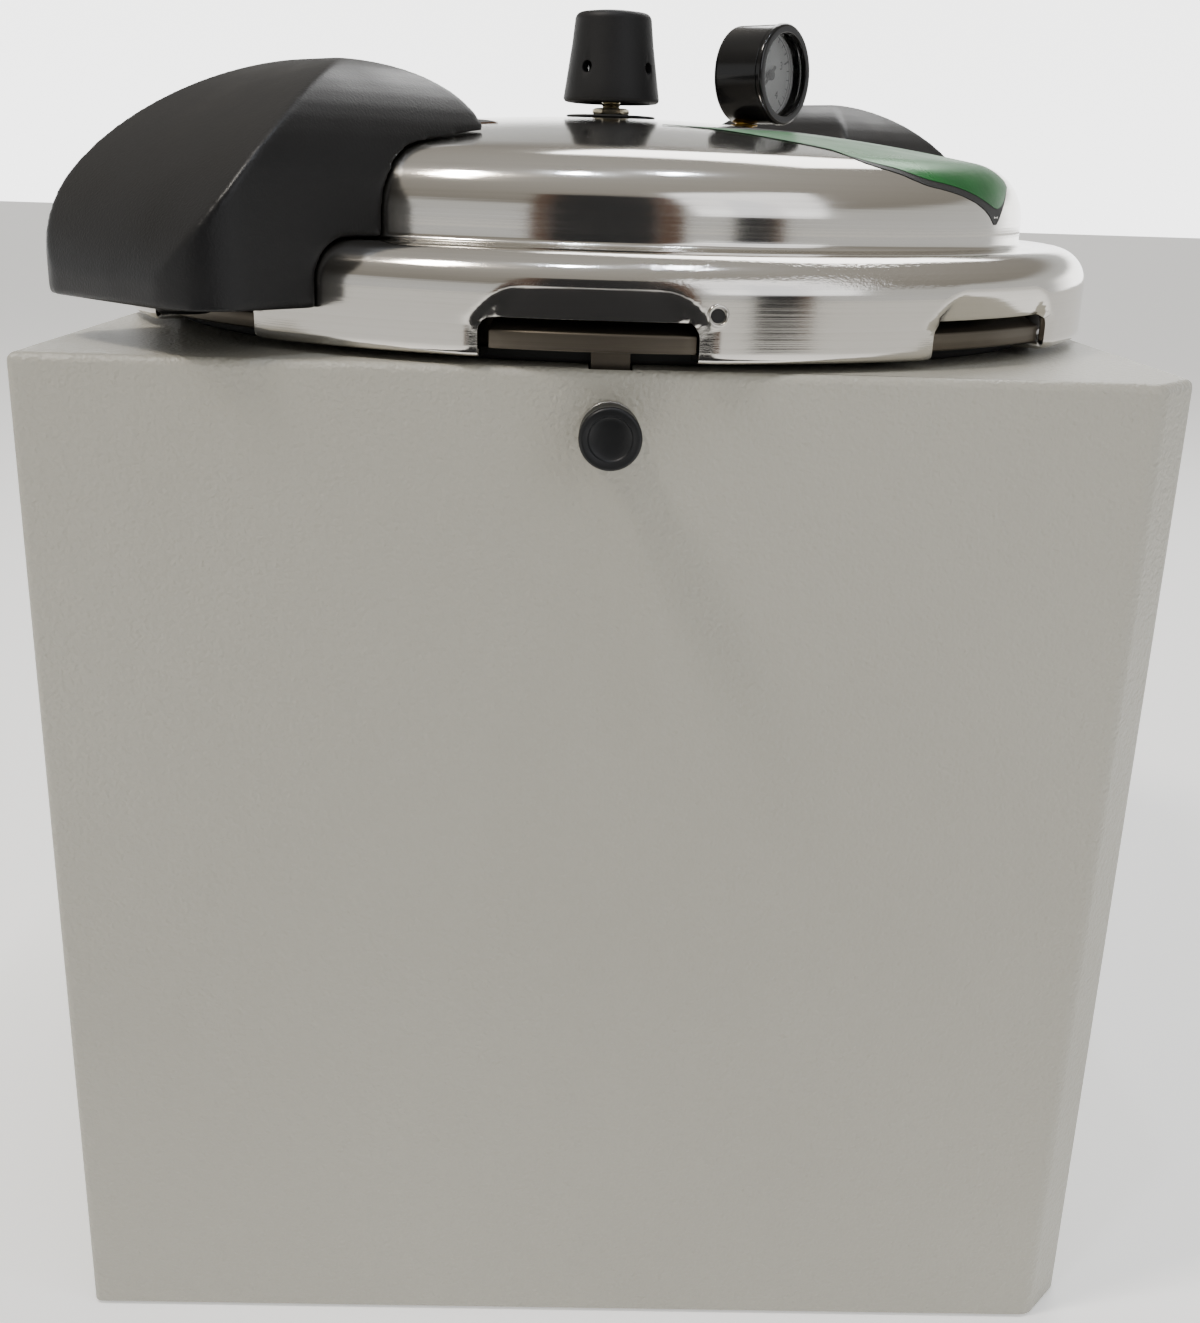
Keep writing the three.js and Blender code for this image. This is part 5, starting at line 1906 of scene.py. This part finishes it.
@dataclass
class Studio:
    """The floor, the soft lights and the camera."""

    yaw: float = 0.0227
    pitch: float = 0.3223
    roll: float = 0.0317
    place: tuple[float, float, float] = (-0.01444, -0.68852, 0.44386)
    lens: float = 39.94
    shift: tuple[float, float] = (0.003, 0.002)
    wall: float = -3000.0
    cloth_top: float = 2600.0

    def build(self) -> None:
        """Sets the floor, lights, world and camera."""
        self.floor()
        self.light("key", (-0.95, -0.57, 2.05), 0.3, 24, "FFF6EA")
        self.light("fill", (1.4, -1.8, 1.5), 1.6, 14, "F6F8FF")
        self.light("back", (0.5, 1.4, 1.9), 1.2, 26, "FFFFFF")
        for i, (x, y) in enumerate(((-0.2, -0.6), (0.35, -0.4), (-0.9, -0.5))):
            self.light(f"ceiling_{i + 1}", (x, y, 2.2), 0.06, 4, "E8F0FF")
        wall, deep, tall = self.wall, self.wall - 10, self.cloth_top
        for name, left, right, finish in (
            ("cloth_a", -1120, -860, BROWN_CLOTH), ("cloth_b", -850, 600, DARK_CLOTH),
            ("cloth_c", 610, 970, BROWN_CLOTH), ("cloth_d", 1750, 2600, DARK_CLOTH),
            ("cloth_e", 2610, 2900, BROWN_CLOTH),
        ):
            self.cloth(name, (left, deep, 0), (right, wall, tall), finish)
        self.cloth("cloth_floor", (-420, -2400, 2), (330, -420, 4), DARK_CLOTH)
        self.world()
        self.camera()

    def floor(self) -> None:
        """Lays the pale floor."""
        obj = start_piece("studio_floor", bpy.ops.mesh.primitive_plane_add, size=30)
        bpy.ops.object.mode_set(mode="OBJECT")
        obj.data.materials.append(FLOOR_PAPER.material())

    def cloth(
        self, name: str, low: Sequence[float], high: Sequence[float], finish: Finish
    ) -> None:
        """Hangs a cloth that only the metal mirrors.

        Args:
            name: its name.
            low: its lowest corner in millimetres.
            high: its highest corner in millimetres.
            finish: its cloth.
        """
        obj = block(name, low, high)
        obj.data.materials.append(finish.material())
        obj.visible_camera = obj.visible_diffuse = obj.visible_shadow = False

    def light(
        self, name: str, place: tuple[float, float, float], size: float, power: float, colour: str
    ) -> None:
        """Hangs one soft light aimed at the lid.

        Args:
            name: its name.
            place: where it hangs.
            size: its side in metres.
            power: its power in watts.
            colour: its colour.
        """
        data = bpy.data.lights.new(name, "AREA")
        data.size = size
        data.energy = power
        data.color = linear(colour)[:3]
        lamp = bpy.data.objects.new(name, data)
        bpy.context.scene.collection.objects.link(lamp)
        lamp.location = place
        aim = Vector((0, 0, 0.3)) - Vector(place)
        lamp.rotation_euler = aim.to_track_quat("-Z", "Y").to_euler()

    def world(self) -> None:
        """Makes a plain soft surround, brighter overhead."""
        world = bpy.data.worlds.new("studio")
        world.use_nodes = True
        tree = world.node_tree
        tree.nodes.clear()
        way = add_node(tree, "ShaderNodeTexCoord")
        parts = add_node(tree, "ShaderNodeSeparateXYZ", links={"Vector": way.outputs["Generated"]})
        ramp = add_node(tree, "ShaderNodeValToRGB", links={"Fac": parts.outputs["Z"]})
        stops = ramp.color_ramp.elements
        stops[0].position, stops[0].color = 0.0, linear("FAFAFA")
        stops[1].position, stops[1].color = 1.0, linear("D6D3CD")
        for position, colour in ((0.28, "EFEFEC"), (0.36, "A9A49C"), (0.62, "BBB6AE")):
            stop = stops.new(position)
            stop.color = linear(colour)
        low = add_node(
            tree, "ShaderNodeMapRange", values={"From Min": 0.2, "From Max": 0.13},
            links={"Value": parts.outputs["Z"]},
        )
        behind = add_node(
            tree, "ShaderNodeMapRange", values={"From Min": 0.55, "From Max": 0.75},
            links={"Value": parts.outputs["Y"]},
        )
        backdrop = add_node(
            tree, "ShaderNodeMath", {"operation": "MULTIPLY"},
            links={0: low.outputs["Result"], 1: behind.outputs["Result"]},
        )
        strength = add_node(
            tree, "ShaderNodeMath", {"operation": "MULTIPLY_ADD"}, {1: 3.4, 2: 0.8},
            {0: backdrop.outputs["Value"]},
        )
        shade = add_node(
            tree, "ShaderNodeBackground",
            links={"Color": ramp.outputs["Color"], "Strength": strength.outputs["Value"]},
        )
        add_node(tree, "ShaderNodeOutputWorld", links={"Surface": shade.outputs["Background"]})
        bpy.context.scene.world = world

    def camera(self) -> None:
        """Places the camera by its yaw, pitch and roll."""
        y, p, r = self.yaw, self.pitch, self.roll
        ahead = Vector((math.sin(y) * math.cos(p), math.cos(y) * math.cos(p), -math.sin(p)))
        right = Vector((math.cos(y), -math.sin(y), 0))
        up = right.cross(ahead)
        across = right * math.cos(r) + up * math.sin(r)
        upward = up * math.cos(r) - right * math.sin(r)
        data = bpy.data.cameras.new("camera")
        data.lens = self.lens
        data.shift_x, data.shift_y = self.shift
        data.clip_start, data.clip_end = 0.02, 60
        eye = bpy.data.objects.new("camera", data)
        bpy.context.scene.collection.objects.link(eye)
        turn = Matrix((across, upward, -ahead)).transposed().to_4x4()
        eye.matrix_world = Matrix.Translation(self.place) @ turn
        bpy.context.scene.camera = eye


def main() -> None:
    """Builds every sub-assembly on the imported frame."""
    logging.basicConfig(level=logging.INFO, format="%(message)s")
    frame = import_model()
    nodes = frame["nodes"]
    Cabinet().build(nodes)
    Pot().build(nodes)
    lid = Lid()
    lid.build()
    LidPrint().build(lid)
    Handles().build(nodes, lid)
    Regulator().build()
    Gauge().build(nodes)
    Plunger().build(nodes)
    BackFittings().build(nodes)
    PlainParts().dress(nodes)
    Studio().build()


if __name__ == "__main__":
    main()
